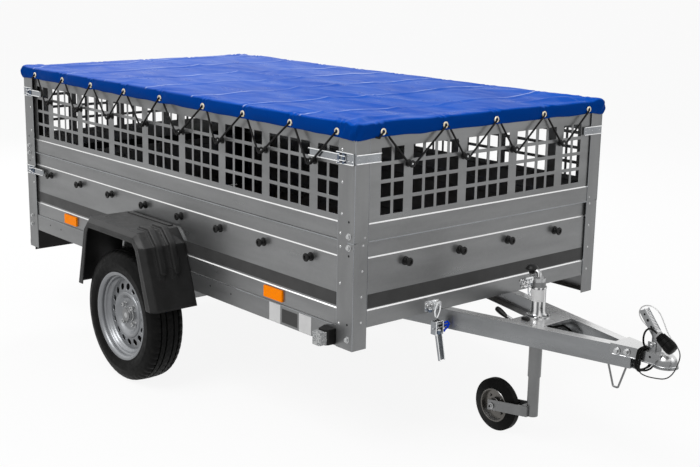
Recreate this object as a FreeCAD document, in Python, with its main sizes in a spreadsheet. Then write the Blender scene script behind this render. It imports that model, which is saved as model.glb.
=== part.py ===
import FreeCAD, Part
import Sketcher
import math
import os
import re

# A two-wheel utility trailer that stands level on its road wheels and its jockey wheel.
# Frame: +X forward to the coupling, +Y to the left, +Z up, millimetres.
# The origin is on the ground, midway between the coupling's tip and the tailgate's hinges.

document = FreeCAD.newDocument("utility_trailer")
sheet = document.addObject("Spreadsheet::Sheet", "Size")
sizes = {
    # Wheels and axle
    "axle_x": -455.5,
    "track_half": 759.5,
    "wheel_radius": 273,
    "tyre_width": 155,
    "tyre_shoulder": 26,
    "tread_half": 58,
    "bead_radius": 167,
    "bead_half": 60,
    "rim_half": 68,
    "rim_flange_radius": 182,
    "rim_gauge": 3,
    "well_radius": 147,
    "disc_offset": 34,
    "disc_dish": 14,
    "disc_ring_radius": 99,
    "disc_centre_radius": 72,
    "vent_count": 16,
    "vent_radius": 10.5,
    "vent_circle": 118,
    "hub_radius": 52,
    "hub_cap_radius": 29,
    "hub_cap_tall": 24,
    "stub_radius": 18,
    "running_gap": 0.05,
    "beam_side": 50,
    "beam_ahead": 120,
    "beam_half": 640,
    "beam_spacer": 25,
    "arm_thick": 20,
    "arm_boss": 25,
    "arm_gap": 1,

    # Box: corner posts, boards and mesh panels
    "box_front": 1234,
    "box_rear": 1166,
    "half_width": 645,
    "post_gauge": 2,
    "post_front_side": 84,
    "post_front_face": 64,
    "post_rear_side": 81,
    "post_rear_face": 45,
    "post_front_foot": 410,
    "post_rear_foot": 319,
    "frame_top": 484,
    "board_joint": 787,
    "panel_top": 1187,
    "sheet_gauge": 1.5,
    "wall_depth": 30,
    "wall_lip": 12,
    "ledge": 4,
    "panel_crease_rise": 60,
    "upper_crease_drop": 60,
    "lower_crease_rise": 59,
    "seat_gap": 0.3,
    "groove_wide": 12,
    "groove_deep": 9,

    # Windows of the mesh panels
    "window_rows": 4,
    "window_rise": 84.5,
    "window_head": 84.5,
    "row_bar": 13,
    "side_groups": 7,
    "side_margin": 102.25,
    "side_bar": 12.5,
    "side_group_bar": 44.5,
    "face_groups": 3,
    "face_margin": 119.5,
    "face_bar": 13,
    "face_group_bar": 43,

    # Frame under the box and floor
    "side_rail_tall": 74,
    "side_rail_flange": 38,
    "side_rail_gauge": 2.5,
    "floor_thick": 9,
    "bearer_wide": 40,
    "bearer_tall": 40,
    "bearer_gauge": 2,
    "bearer_rear_x": -430,
    "bearer_pitch": 380,
    "bearer_front_x": 640,
    "bearer_front_half": 270,

    # Tailgate and its hinges
    "gate_side_gap": 5,
    "gate_foot": 492,
    "gate_top_gap": 7,
    "gate_hinge_out": 8,
    "gate_hinge_z": 487,
    "knuckle_radius": 6,
    "knuckle_pin": 3,
    "knuckle_long": 40,
    "knuckle_gap": 0.5,
    "hinge_y": 430,
    "leaf_thick": 3,
    "leaf_tall": 38,

    # Rear lamp board
    "lamp_board_foot": 305,
    "lamp_board_thick": 2,
    "lamp_board_back": 42,
    "lamp_wide": 190,
    "lamp_tall": 76,
    "lamp_deep": 34,
    "lamp_inset": 12,

    # Drawbar
    "rail_tall": 72,
    "rail_flange": 38,
    "rail_gauge": 3,
    "rail_angle": 13.87,
    "rail_mark_x": 1600,
    "rail_mark_half": 112,
    "rail_rear_x": -62,
    "rail_front_x": 1930,
    "tip_pivot_x": -20,
    "tip_pivot_z": 448,
    "tip_slope": 20,
    "tip_pin_radius": 8,
    "tip_pin_out": 566,
    "tip_bracket_y": 545,
    "tip_bracket_gauge": 6,
    "tip_bracket_half": 34,
    "plate_rear_x": 1466,
    "plate_front_x": 1592,
    "plate_gauge": 4,

    # Jockey wheel
    "jockey_x": 1500,
    "jockey_outer": 24,
    "jockey_inner": 21,
    "jockey_wall": 2.6,
    "jockey_tube_foot": 258,
    "jockey_tube_top": 612,
    "jockey_leg_foot": 107,
    "jockey_leg_top": 560,
    "jockey_trail": 170,
    "jockey_wheel_radius": 100,
    "jockey_wheel_wide": 46,
    "jockey_rim_radius": 62,
    "jockey_pin_radius": 6,
    "fork_half": 28.5,
    "fork_gauge": 4,
    "fork_tall": 40,
    "jockey_shoulder": 12,
    "jockey_hub_radius": 15,
    "jockey_web_half": 8,
    "jockey_rim_gauge": 4,
    "crank_cap_tall": 14,
    "crank_arm_thick": 5,
    "crank_arm_half": 10,
    "crank_reach": 36,
    "knob_foot": 634,
    "knob_neck": 16,
    "knob_tall": 18,
    "knob_radius": 24,
    "clamp_gauge": 6,
    "clamp_tall": 26,
    "column_tall": 112,
    "column_half": 14,
    "lever_out": 74,
    "lever_radius": 5,
    "lever_run": 40,
    "lever_grip_long": 56,
    "lever_rise": 16,
    "slide_gap": 0.3,

    # Coupling
    "ball_x": 2046,
    "ball_socket": 25.2,
    "ball_centre_z": 460,
    "head_radius": 38,
    "head_foot": 445,
    "head_top": 494,
    "coupling_gauge": 4,
    "coupling_rear_x": 1861,
    "coupling_bend_x": 1948,
    "coupling_side_foot": 450,
    "coupling_top": 489,
    "coupling_neck_half": 33,
    "handle_back": 30,
    "handle_deep": 22,
    "handle_stem": 60,
    "handle_reach": 58,
    "handle_rise": 72,
    "handle_half": 13,
    "handle_gauge": 2.5,

    # Wire rest, lead with its plug, and safety cable
    "rest_x_mid": 1856,
    "rest_half": 40,
    "rest_drop": 88,
    "rest_wire": 7,
    "lead_thick": 6.5,
    "coil_x": 1962,
    "coil_turns": 3,
    "coil_half": 38,
    "coil_foot": 418,
    "coil_slope": 12,
    "plug_x": 2027,
    "plug_out": 30,
    "plug_z": 557,
    "plug_dip": 33,
    "plug_collar_long": 12,
    "plug_collar_radius": 14,
    "plug_grip_long": 34,
    "plug_nose_long": 30,
    "plug_radius": 22,
    "cable_thick": 4,

    # Latches between the box and the drawbar
    "latch_out": 252,
    "latch_half": 17,
    "latch_gauge": 3,
    "latch_pivot_z": 436,
    "latch_boss": 16,
    "latch_lever_long": 138,
    "catch_foot": 490,
    "catch_tall": 36,
    "catch_deep": 26,
    "moving_gap": 5,

    # Corner toggles and strikers
    "toggle_inset": 1,
    "toggle_gauge": 2.5,
    "toggle_deep": 12,
    "toggle_tall": 40,
    "toggle_plate": 64,
    "toggle_upper_foot": 1053,
    "toggle_lower_foot": 682,
    "toggle_front_long": 232,
    "toggle_rear_long": 178,
    "striker_long": 110,
    "striker_deep": 7,

    # Lamps and reflectors on the sides
    "marker_x": 1020,
    "marker_long": 126,
    "marker_foot": 412,
    "marker_tall": 66,
    "marker_bracket_out": 20,
    "marker_lens_long": 66,
    "marker_lens_out": 50,
    "reflector_front_x": 734,
    "reflector_rear_x": -804,
    "reflector_long": 110,
    "reflector_tall": 42,
    "reflector_foot": 496,
    "reflector_thick": 8,
    "buffer_deep": 11,
    "buffer_tall": 26,

    # Mudguards
    "guard_gap": 0.3,
    "guard_wide": 205,
    "guard_top": 650,
    "guard_wall": 3.5,
    "guard_skirt": 42,
    "guard_round": 20,
    "guard_foot": 352,
    "guard_shoulder_z": 596,
    "guard_rear_reach": 326,
    "guard_rear_shoulder": 266,
    "guard_rear_crown": 226,
    "guard_front_crown": 152,
    "guard_front_shoulder": 204,
    "guard_front_reach": 288,
    "rib_first": 62,
    "rib_pitch": 62,
    "rib_wide": 26,
    "rib_back": 62,
    "rib_drop": 125,
    "rib_proud": 3,

    # Cover
    "cover_gap": 0.5,
    "cover_thick": 9,
    "cover_top_thick": 8,
    "cover_drop": 57,
}

for row, (alias, number) in enumerate(sizes.items(), 1):
    sheet.set("A%d" % row, str(number))
    sheet.setAlias("A%d" % row, alias)
document.recompute()


def formula(text):
    """Write the sheet's name before each alias in a formula."""
    return re.sub(r"[a-z][a-z0-9_]*", lambda found: "Size." + found.group()
                  if found.group() in sizes else found.group(), text)


def bind(thing, target, text):
    """Tie one property to a formula of the sheet."""
    thing.setExpression(target, formula(text))


def new_body(name):
    body = document.addObject("PartDesign::Body", name)
    body.Label = name
    return body


def sketch_across(body, name, axis, station):
    """A sketch square to an axis. Its own axes are Y Z, X Z or X Y."""
    role = {"X": "YZ_Plane", "Y": "XZ_Plane", "Z": "XY_Plane"}[axis]
    plane = [item for item in body.Origin.OriginFeatures if item.Role == role][0]
    sketch = body.newObject("Sketcher::SketchObject", name)
    sketch.AttachmentSupport = [(plane, "")]
    sketch.MapMode = "FlatFace"
    bind(sketch, "AttachmentOffset.Base.z", "-(%s)" % station if axis == "Y" else station)
    return sketch


def draw_outline(sketch, corners):
    """A closed outline with straight sides. Each corner is a pair of formulas."""
    first = sketch.GeometryCount
    count = len(corners)
    guess = [FreeCAD.Vector(math.cos(2 * math.pi * i / count), math.sin(2 * math.pi * i / count), 0)
             for i in range(count)]
    for i in range(count):
        sketch.addGeometry(Part.LineSegment(guess[i], guess[(i + 1) % count]), False)
    for i in range(count):
        after = first + (i + 1) % count
        sketch.addConstraint(Sketcher.Constraint("Coincident", first + i, 2, after, 1))
    for i, corner in enumerate(corners):
        for kind, text in zip(("DistanceX", "DistanceY"), corner):
            entry = sketch.addConstraint(Sketcher.Constraint(kind, -1, 1, first + i, 1, 1.0))
            bind(sketch, "Constraints[%d]" % entry, text)


def draw_circle(sketch, across, up, radius):
    """A circle whose centre and radius are formulas."""
    circle = Part.Circle(FreeCAD.Vector(1, 1, 0), FreeCAD.Vector(0, 0, 1), 1)
    entry = sketch.addGeometry(circle, False)
    rules = [Sketcher.Constraint("DistanceX", -1, 1, entry, 3, 1.0),
             Sketcher.Constraint("DistanceY", -1, 1, entry, 3, 1.0),
             Sketcher.Constraint("Radius", entry, 1.0)]
    for rule, text in zip(rules, (across, up, radius)):
        bind(sketch, "Constraints[%d]" % sketch.addConstraint(rule), text)


def add_pad(body, name, axis, station, run, corners):
    """Extrude an outline along an axis, from a station, in the axis' own direction."""
    sketch = sketch_across(body, name + "_outline", axis, station)
    draw_outline(sketch, corners)
    pad = body.newObject("PartDesign::Pad", name)
    pad.Profile = sketch
    pad.Reversed = axis == "Y"
    bind(pad, "Length", run)
    return pad


def add_disc(body, name, axis, station, run, across, up, radius):
    """Extrude a circle along an axis, from a station, in the axis' own direction."""
    sketch = sketch_across(body, name + "_outline", axis, station)
    draw_circle(sketch, across, up, radius)
    pad = body.newObject("PartDesign::Pad", name)
    pad.Profile = sketch
    pad.Reversed = axis == "Y"
    bind(pad, "Length", run)
    return pad


def add_cut(body, name, axis, station, outlines=(), circles=()):
    """Cut outlines and circles right through the body, both ways from a station."""
    sketch = sketch_across(body, name + "_outline", axis, station)
    for corners in outlines:
        draw_outline(sketch, corners)
    for circle in circles:
        draw_circle(sketch, *circle)
    pocket = body.newObject("PartDesign::Pocket", name)
    pocket.Profile = sketch
    pocket.Type = "ThroughAll"
    pocket.Midplane = True
    return pocket


def rectangle(low_across, high_across, low_up, high_up):
    return [(low_across, low_up), (high_across, low_up), (high_across, high_up), (low_across, high_up)]


def prism(name, axis, station, run, corners):
    body = new_body(name)
    add_pad(body, name + "_pad", axis, station, run, corners)
    return body


def mirror(name, source):
    """The same piece on the other side of the trailer."""
    copy = document.addObject("Part::Mirroring", name)
    copy.Label = name
    copy.Source = source
    copy.Normal = (0, 1, 0)
    return copy


def group(name, pieces):
    """Like pieces that share a node without touching."""
    joined = document.addObject("Part::Compound", name)
    joined.Label = name
    joined.Links = pieces
    return joined


def cylinder(name, axis, centre, start, run, radius):
    """A cylinder along an axis. Its centre is the pair of formulas across that axis."""
    round_bar = document.addObject("Part::Cylinder", name)
    round_bar.Label = name
    bind(round_bar, "Radius", radius)
    bind(round_bar, "Height", run)
    turns = {"X": ((0, 1, 0), 90), "Y": ((1, 0, 0), -90), "Z": ((0, 0, 1), 0)}
    direction, angle = turns[axis]
    round_bar.Placement.Rotation = FreeCAD.Rotation(FreeCAD.Vector(*direction), angle)
    places = {"X": (start, centre[0], centre[1]), "Y": (centre[0], start, centre[1]),
              "Z": (centre[0], centre[1], start)}[axis]
    for letter, text in zip("xyz", places):
        bind(round_bar, "Placement.Base." + letter, text)
    return round_bar


def cut(name, base, tool):
    result = document.addObject("Part::Cut", name)
    result.Label = name
    result.Base = base
    result.Tool = tool
    return result


def fuse(name, pieces):
    result = document.addObject("Part::MultiFuse", name)
    result.Label = name
    result.Shapes = pieces
    return result


def turned(name, corners, centre_x, centre_z):
    """A solid of revolution about a line along Y. Corners are pairs of radius and distance along Y."""
    body = new_body(name)
    sketch = sketch_across(body, name + "_section", "X", centre_x)
    draw_outline(sketch, [(along, "%s + %s" % (centre_z, radius)) for radius, along in corners])
    line = sketch.addGeometry(Part.LineSegment(FreeCAD.Vector(0, 0, 0), FreeCAD.Vector(1, 0, 0)), True)
    sketch.addConstraint(Sketcher.Constraint("Horizontal", line))
    for end, text in ((1, "0"), (2, "wheel_radius")):
        entry = sketch.addConstraint(Sketcher.Constraint("DistanceX", -1, 1, line, end, 1.0))
        bind(sketch, "Constraints[%d]" % entry, text)
    entry = sketch.addConstraint(Sketcher.Constraint("DistanceY", -1, 1, line, 1, 1.0))
    bind(sketch, "Constraints[%d]" % entry, centre_z)
    revolution = body.newObject("PartDesign::Revolution", name + "_turn")
    revolution.Profile = sketch
    revolution.ReferenceAxis = (sketch, ["Axis0"])
    return body


def add_ring_of_holes(body, name, station, centre, count, circle, radius):
    """Holes along Y, set evenly round a circle."""
    pocket = add_cut(body, name, "Y", station, circles=[("0", circle, radius)])
    sketch = pocket.Profile[0]
    bind(sketch, "AttachmentOffset.Base.x", centre[0])
    bind(sketch, "AttachmentOffset.Base.y", centre[1])
    pattern = body.newObject("PartDesign::PolarPattern", name + "_ring")
    pattern.Originals = [pocket]
    pattern.Axis = (sketch, ["N_Axis"])
    pattern.Angle = 360
    bind(pattern, "Occurrences", count)
    body.Tip = pattern


# Box: corner posts
def post_pair(name, foot, top, outer_x, inner_x, side, face):
    """An angle section at the left corner and its mirror image at the right corner."""
    inside = "half_width - post_gauge"
    left = prism(name + "_left", "Z", foot, "%s - (%s)" % (top, foot),
                 [(outer_x, "half_width"), (side, "half_width"), (side, inside), (inner_x, inside),
                  (inner_x, "half_width - (%s)" % face), (outer_x, "half_width - (%s)" % face)])
    return [left, mirror(name + "_right", left)]


front = "axle_x + box_front"
rear = "axle_x - box_rear"
post_front = front + " - post_gauge"
post_rear = rear + " + post_gauge"

lower_posts = post_pair("front_post", "post_front_foot", "board_joint", front, post_front,
                        front + " - post_front_side", "post_front_face")
lower_posts += post_pair("rear_post", "post_rear_foot", "board_joint", rear, post_rear,
                         rear + " + post_rear_side", "post_rear_face")


def upper_post_pair(name, corner_x, step, toward):
    """The upper post steps back behind the end panel, which leaves an open groove at the corner."""
    side = "post_front_side" if toward < 0 else "post_rear_side"
    sign = "-" if toward < 0 else "+"
    inside = "half_width - post_gauge"
    far = "%s %s %s" % (corner_x, sign, side)
    set_back = "%s %s (%s)" % (corner_x, sign, step)
    behind = "%s %s post_gauge" % (set_back, sign)
    left = prism(name + "_left", "Z", "board_joint", "panel_top - board_joint",
                 [(corner_x, "half_width"), (far, "half_width"), (far, inside), (behind, inside),
                  (behind, "half_width - post_rear_face"), (set_back, "half_width - post_rear_face"),
                  (set_back, inside), (corner_x, inside)])
    return [left, mirror(name + "_right", left)]


upper_posts = upper_post_pair("front_upper_post", front, "groove_deep", -1)
upper_posts += upper_post_pair("rear_upper_post", rear, "groove_deep", 1)
group("corner_posts", lower_posts + upper_posts)


# Box: boards and panels of folded sheet
def folded_section(face, inward, foot, top, creases, first_step, foot_flange):
    """Outline of a sheet whose bands step out by one ledge at each crease, from the top down."""
    outer = []
    step = first_step
    outer.append(("%s %s %d * ledge" % (face, inward, step), top))
    for crease in creases:
        outer.append(("%s %s %d * ledge" % (face, inward, step), crease + " + ledge"))
        step -= 1
        outer.append(("%s %s %d * ledge" % (face, inward, step), crease))
    outer.append(("%s %s %d * ledge" % (face, inward, step), foot))
    inner = []
    if foot_flange:
        inner.append(("%s %s wall_depth" % (face, inward), foot))
        inner.append(("%s %s wall_depth" % (face, inward), foot + " + sheet_gauge"))
        inner.append(("%s %s (%d * ledge + sheet_gauge)" % (face, inward, step), foot + " + sheet_gauge"))
    else:
        inner.append(("%s %s (%d * ledge + sheet_gauge)" % (face, inward, step), foot))
    for crease in reversed(creases):
        inner.append(("%s %s (%d * ledge + sheet_gauge)" % (face, inward, step), crease))
        step += 1
        inner.append(("%s %s (%d * ledge + sheet_gauge)" % (face, inward, step), crease + " + ledge"))
    inner.append(("%s %s (%d * ledge + sheet_gauge)" % (face, inward, step), top + " - sheet_gauge"))
    inner.append(("%s %s (wall_depth - sheet_gauge)" % (face, inward), top + " - sheet_gauge"))
    inner.append(("%s %s (wall_depth - sheet_gauge)" % (face, inward), top + " - wall_lip"))
    inner.append(("%s %s wall_depth" % (face, inward), top + " - wall_lip"))
    inner.append(("%s %s wall_depth" % (face, inward), top))
    return outer + inner


board_creases = ["board_joint - upper_crease_drop", "frame_top + lower_crease_rise"]
panel_creases = ["board_joint + panel_crease_rise"]
side_face = "half_width - post_gauge"
side_rear = rear + " + post_gauge + wall_depth + gate_side_gap"
side_front = front + " - post_gauge - wall_depth - seat_gap"
side_run = "(%s) - (%s)" % (side_front, side_rear)

side_board_left = prism("side_board_left", "X", side_rear, side_run,
                        folded_section(side_face, "-", "frame_top", "board_joint",
                                       board_creases, 3, False))
mirror("side_board_right", side_board_left)

front_face = front + " - post_gauge"
prism("front_board", "Y", "-(half_width - post_gauge - seat_gap)",
      "2 * (half_width - post_gauge - seat_gap)",
      folded_section(front_face, "-", "frame_top + seat_gap", "board_joint",
                     board_creases, 2, True))


row_pitch = "((panel_top - window_head - board_joint - window_rise + row_bar) / window_rows)"
window_tall = "(%s - row_bar)" % row_pitch
window_foot = "(board_joint + window_rise)"


def add_windows(body, axis, station, start, window, bar, pitch, copies, columns):
    """Rows of square windows in one group of columns, repeated along the panel."""
    outlines = []
    for column in range(columns):
        low = "%s + %d * (%s + %s)" % (start, column, window, bar)
        outlines.append(rectangle(low, "%s + %s" % (low, window), window_foot,
                                  "%s + %s" % (window_foot, window_tall)))
    name = "%s_windows_%d" % (body.Label, len(body.Group))
    pocket = add_cut(body, name, axis, station, outlines)
    pattern = body.newObject("PartDesign::LinearPattern", name + "_grid")
    pattern.Originals = [pocket]
    pattern.Direction = (pocket.Profile[0], ["V_Axis"])
    bind(pattern, "Length", "(window_rows - 1) * %s" % row_pitch)
    bind(pattern, "Occurrences", "window_rows")
    if copies != "1":
        pattern.Direction2 = (pocket.Profile[0], ["H_Axis"])
        bind(pattern, "Length2", "(%s - 1) * %s" % (copies, pitch))
        bind(pattern, "Occurrences2", copies)
    body.Tip = pattern


side_panel_left = prism("side_panel_left", "X", side_rear, side_run,
                        folded_section(side_face, "-", "board_joint", "panel_top", panel_creases, 3, True))
box_middle = "axle_x + (box_front - box_rear) / 2"
side_group = "((box_front + box_rear - 2 * side_margin + side_bar) / (side_groups + 1))"
side_window = "((%s - side_group_bar - 3 * side_bar) / 4)" % side_group
first_group = "%s - (side_groups * %s - side_group_bar) / 2" % (box_middle, side_group)
side_pair = "(2 * %s + side_bar)" % side_window
end_group = "%s + side_groups * %s" % (first_group, side_group)
near_group = "%s - side_group_bar - %s" % (first_group, side_pair)
for start, copies, columns in ((first_group, "side_groups", 4), (end_group, "1", 2), (near_group, "1", 2)):
    add_windows(side_panel_left, "Y", "half_width", start, side_window, "side_bar", side_group, copies,
                columns)
mirror("side_panel_right", side_panel_left)


def end_panel(name, face, inward):
    """The mesh panel across the front or the rear."""
    panel = prism(name, "Y", "-(half_width - groove_wide)", "2 * (half_width - groove_wide)",
                  folded_section(face, inward, "board_joint", "panel_top", panel_creases, 1, False))
    face_group = "((2 * half_width - 2 * face_margin + face_bar) / (face_groups + 1))"
    face_window = "((%s - face_group_bar - 3 * face_bar) / 4)" % face_group
    first = "-(face_groups * %s - face_group_bar) / 2" % face_group
    before = "%s - face_group_bar - (2 * %s + face_bar)" % (first, face_window)
    after = "%s + face_groups * %s" % (first, face_group)
    for start, copies, columns in ((first, "face_groups", 4), (before, "1", 2), (after, "1", 2)):
        add_windows(panel, "X", face, start, face_window, "face_bar", face_group, copies, columns)
    behind = "%s %s (ledge + sheet_gauge + seat_gap)" % (face, inward)
    deep = "%s %s 2 * wall_depth" % (face, inward)
    notch = "half_width - post_rear_face - seat_gap"
    panel.Tip = add_cut(panel, name + "_notches", "Z", "panel_top",
                        [rectangle(behind, deep, notch, "half_width"),
                         rectangle(behind, deep, "-half_width", "-(%s)" % notch)])
    return panel


end_panel("front_panel", front, "-")
end_panel("rear_panel", rear, "+")

# Frame under the box, floor and bearers
side_rail_left = prism("side_rail_left", "X", post_rear, "(%s) - (%s)" % (post_front, post_rear),
                       [(side_face, "frame_top"), (side_face, "frame_top - side_rail_tall"),
                        (side_face + " - side_rail_flange", "frame_top - side_rail_tall"),
                        (side_face + " - side_rail_flange", "frame_top - side_rail_tall + side_rail_gauge"),
                        (side_face + " - side_rail_gauge", "frame_top - side_rail_tall + side_rail_gauge"),
                        (side_face + " - side_rail_gauge", "frame_top - side_rail_gauge"),
                        (side_face + " - side_rail_flange", "frame_top - side_rail_gauge"),
                        (side_face + " - side_rail_flange", "frame_top")])
group("side_rails", [side_rail_left, mirror("side_rail_right", side_rail_left)])

floor_half = "half_width - post_gauge - ledge - sheet_gauge - seat_gap"
prism("floor_panel", "Z", "frame_top + seat_gap", "floor_thick",
      rectangle(side_rear, side_front, "-(%s)" % floor_half, floor_half))


def bearer(name, middle, half):
    """A channel under the floor, open downward."""
    low = "%s - bearer_wide / 2" % middle
    high = "%s + bearer_wide / 2" % middle
    foot = "frame_top - bearer_tall"
    return prism(name, "Y", "-(%s)" % half, "2 * (%s)" % half,
                 [(low, foot), (low + " + bearer_gauge", foot),
                  (low + " + bearer_gauge", "frame_top - bearer_gauge"),
                  (high + " - bearer_gauge", "frame_top - bearer_gauge"),
                  (high + " - bearer_gauge", foot), (high, foot), (high, "frame_top"), (low, "frame_top")])


bearers = [bearer("bearer_rear", "axle_x + bearer_rear_x - bearer_pitch",
                  "half_width - post_gauge - side_rail_flange"),
           bearer("bearer_middle", "axle_x + bearer_rear_x", "half_width - post_gauge - side_rail_flange"),
           bearer("bearer_front", "axle_x + bearer_front_x", "bearer_front_half")]
group("floor_bearers", bearers)

# Tailgate, its hinges and the rear sill
gate_half = "half_width - post_rear_face - gate_side_gap"
prism("tailgate", "Y", "-(%s)" % gate_half, "2 * (%s)" % gate_half,
                  folded_section(rear, "+", "gate_foot", "board_joint - gate_top_gap",
                                 board_creases, 2, True))
sill_half = "half_width - post_rear_face - seat_gap"
prism("rear_sill", "Y", "-(%s)" % sill_half, "2 * (%s)" % sill_half,
      [(rear, "frame_top"), (rear, "frame_top - side_rail_tall"),
       (rear + " + side_rail_flange", "frame_top - side_rail_tall"),
       (rear + " + side_rail_flange", "frame_top - side_rail_tall + side_rail_gauge"),
       (rear + " + side_rail_gauge", "frame_top - side_rail_tall + side_rail_gauge"),
       (rear + " + side_rail_gauge", "frame_top - side_rail_gauge"),
       (rear + " + side_rail_flange", "frame_top - side_rail_gauge"),
       (rear + " + side_rail_flange", "frame_top")])

hinge_x = rear + " - gate_hinge_out"


def hinge_set(side):
    """The sill half with its pin and the gate half with its bore."""
    tag = "left" if side > 0 else "right"
    sign = "" if side > 0 else "-"
    sill_middle = "%shinge_y - knuckle_long / 2" % sign
    gate_middle = "%shinge_y + knuckle_long / 2" % sign
    half = "(knuckle_long - knuckle_gap) / 2"
    sill_knuckle = cylinder("sill_knuckle_" + tag, "Y", (hinge_x, "gate_hinge_z"),
                            "%s - %s" % (sill_middle, half), "2 * " + half, "knuckle_radius")
    sill_pin = cylinder("sill_pin_" + tag, "Y", (hinge_x, "gate_hinge_z"),
                        "%s - %s" % (sill_middle, half), "knuckle_long + 2 * " + half, "knuckle_pin")
    sill_leaf = prism("sill_leaf_" + tag, "Y", "%s - %s" % (sill_middle, half), "2 * " + half,
                      [(hinge_x, "gate_hinge_z"), (hinge_x, "gate_hinge_z - knuckle_radius"),
                       (rear + " - leaf_thick", "gate_hinge_z - 2 * knuckle_radius"),
                       (rear + " - leaf_thick", "frame_top - leaf_tall"), (rear, "frame_top - leaf_tall"),
                       (rear, "gate_hinge_z - knuckle_radius / 2")])
    gate_knuckle = cylinder("gate_knuckle_" + tag, "Y", (hinge_x, "gate_hinge_z"),
                            "%s - %s" % (gate_middle, half), "2 * " + half, "knuckle_radius")
    gate_leaf = prism("gate_leaf_" + tag, "Y", "%s - %s" % (gate_middle, half), "2 * " + half,
                      [(hinge_x, "gate_hinge_z"), (rear, "gate_foot"), (rear, "gate_foot + leaf_tall"),
                       (rear + " - leaf_thick", "gate_foot + leaf_tall"),
                       (rear + " - leaf_thick", "gate_hinge_z + 2 * knuckle_radius"),
                       (hinge_x, "gate_hinge_z + knuckle_radius")])
    bore = cylinder("gate_bore_" + tag, "Y", (hinge_x, "gate_hinge_z"),
                    "%s - knuckle_long" % gate_middle, "2 * knuckle_long", "knuckle_pin + running_gap")
    sill_half_hinge = fuse("sill_hinge_" + tag, [sill_knuckle, sill_leaf, sill_pin])
    gate_solid = fuse("gate_solid_" + tag, [gate_knuckle, gate_leaf])
    return sill_half_hinge, cut("gate_hinge_" + tag, gate_solid, bore)


hinges = [hinge_set(1), hinge_set(-1)]
group("sill_hinges", [pair[0] for pair in hinges])
group("gate_hinges", [pair[1] for pair in hinges])

# Rear lamp board and lamps
board_half = "half_width - post_gauge - seat_gap"
prism("lamp_board", "Y", "-(%s)" % board_half, "2 * (%s)" % board_half,
      [(rear + " + lamp_board_back", "lamp_board_foot"),
       (rear + " + lamp_board_back + lamp_board_thick", "lamp_board_foot"),
       (rear + " + lamp_board_back + lamp_board_thick", "frame_top - side_rail_tall"),
       (rear + " + lamp_board_back", "frame_top - side_rail_tall")])
lamp_left = prism("rear_lamp_left", "X", rear + " + lamp_board_back - lamp_deep", "lamp_deep",
                  rectangle("%s - lamp_inset - lamp_wide" % gate_half, "%s - lamp_inset" % gate_half,
                            "frame_top - side_rail_tall - lamp_inset - lamp_tall",
                            "frame_top - side_rail_tall - lamp_inset"))
group("rear_lamps", [lamp_left, mirror("rear_lamp_right", lamp_left)])

# Drawbar: two channels that meet at the coupling
document.recompute()
rail_out = "(rail_mark_half + tan(rail_angle * 1 deg) * (rail_mark_x - (%s)))"
rail_across = "(%s / cos(rail_angle * 1 deg))"


def rail_edge(distance):
    """How far out the rail's web is, at a distance ahead of the axle."""
    return rail_out % distance


def rail_solid(name):
    """A channel with its web outward: the whole bar less the space between its flanges."""
    body = new_body(name)
    low = "axle_x + rail_rear_x"
    high = "axle_x + rail_front_x"
    flange = rail_across % "rail_flange"
    add_pad(body, name + "_bar", "Z", "frame_top - rail_tall", "rail_tall",
            [(low, rail_edge("rail_rear_x")), (low, "%s - %s" % (rail_edge("rail_rear_x"), flange)),
             ("axle_x + rail_mark_x + (rail_mark_half - %s) / tan(rail_angle * 1 deg)" % flange, "0"),
             (high, "0"), (high, rail_edge("rail_front_x"))])
    web = rail_across % "rail_gauge"
    sketch = sketch_across(body, name + "_hollow_outline", "Z", "frame_top - rail_gauge")
    draw_outline(sketch,
                 [(low + " - rail_flange", "%s - %s" % (rail_edge("rail_rear_x - rail_flange"), web)),
                          (low + " - rail_flange", "-rail_flange"),
                          (high + " + rail_flange", "-rail_flange"),
                          (high + " + rail_flange",
                           "%s - %s" % (rail_edge("rail_front_x + rail_flange"), web))])
    hollow = body.newObject("PartDesign::Pocket", name + "_hollow")
    hollow.Profile = sketch
    bind(hollow, "Length", "rail_tall - 2 * rail_gauge")
    return body


rail_bar = rail_solid("rail_bar_left")
pin_centre = ("axle_x + tip_pivot_x", "tip_pivot_z")
pin_inner = rail_edge("tip_pivot_x + tip_bracket_half") + " - rail_flange"
pin_run = "tip_pin_out - (%s)" % pin_inner
tip_pin_left = cylinder("tip_pin_left", "Y", pin_centre, pin_inner, pin_run, "tip_pin_radius")
rail_tail = prism("rail_tail_space", "Y", "0", "half_width",
                  [("axle_x + tip_pivot_x", "frame_top"),
                   ("axle_x + rail_rear_x - rail_flange", "frame_top + rail_flange"),
                   ("axle_x + rail_rear_x - rail_flange",
                    "frame_top - tan(tip_slope * 1 deg) * (tip_pivot_x - rail_rear_x + rail_flange)")])
rail_cropped = cut("rail_cropped_left", rail_bar, rail_tail)
tip_hole = cylinder("tip_hole", "Y", pin_centre, pin_inner, pin_run, "tip_pin_radius + running_gap")
rail_left = cut("drawbar_rail_left", rail_cropped, tip_hole)
mirror("drawbar_rail_right", rail_left)
group("tip_pins", [cylinder("tip_bolt_left", "Y", pin_centre, pin_inner, pin_run, "tip_pin_radius"),
                   mirror("tip_bolt_right", tip_pin_left)])

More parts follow.
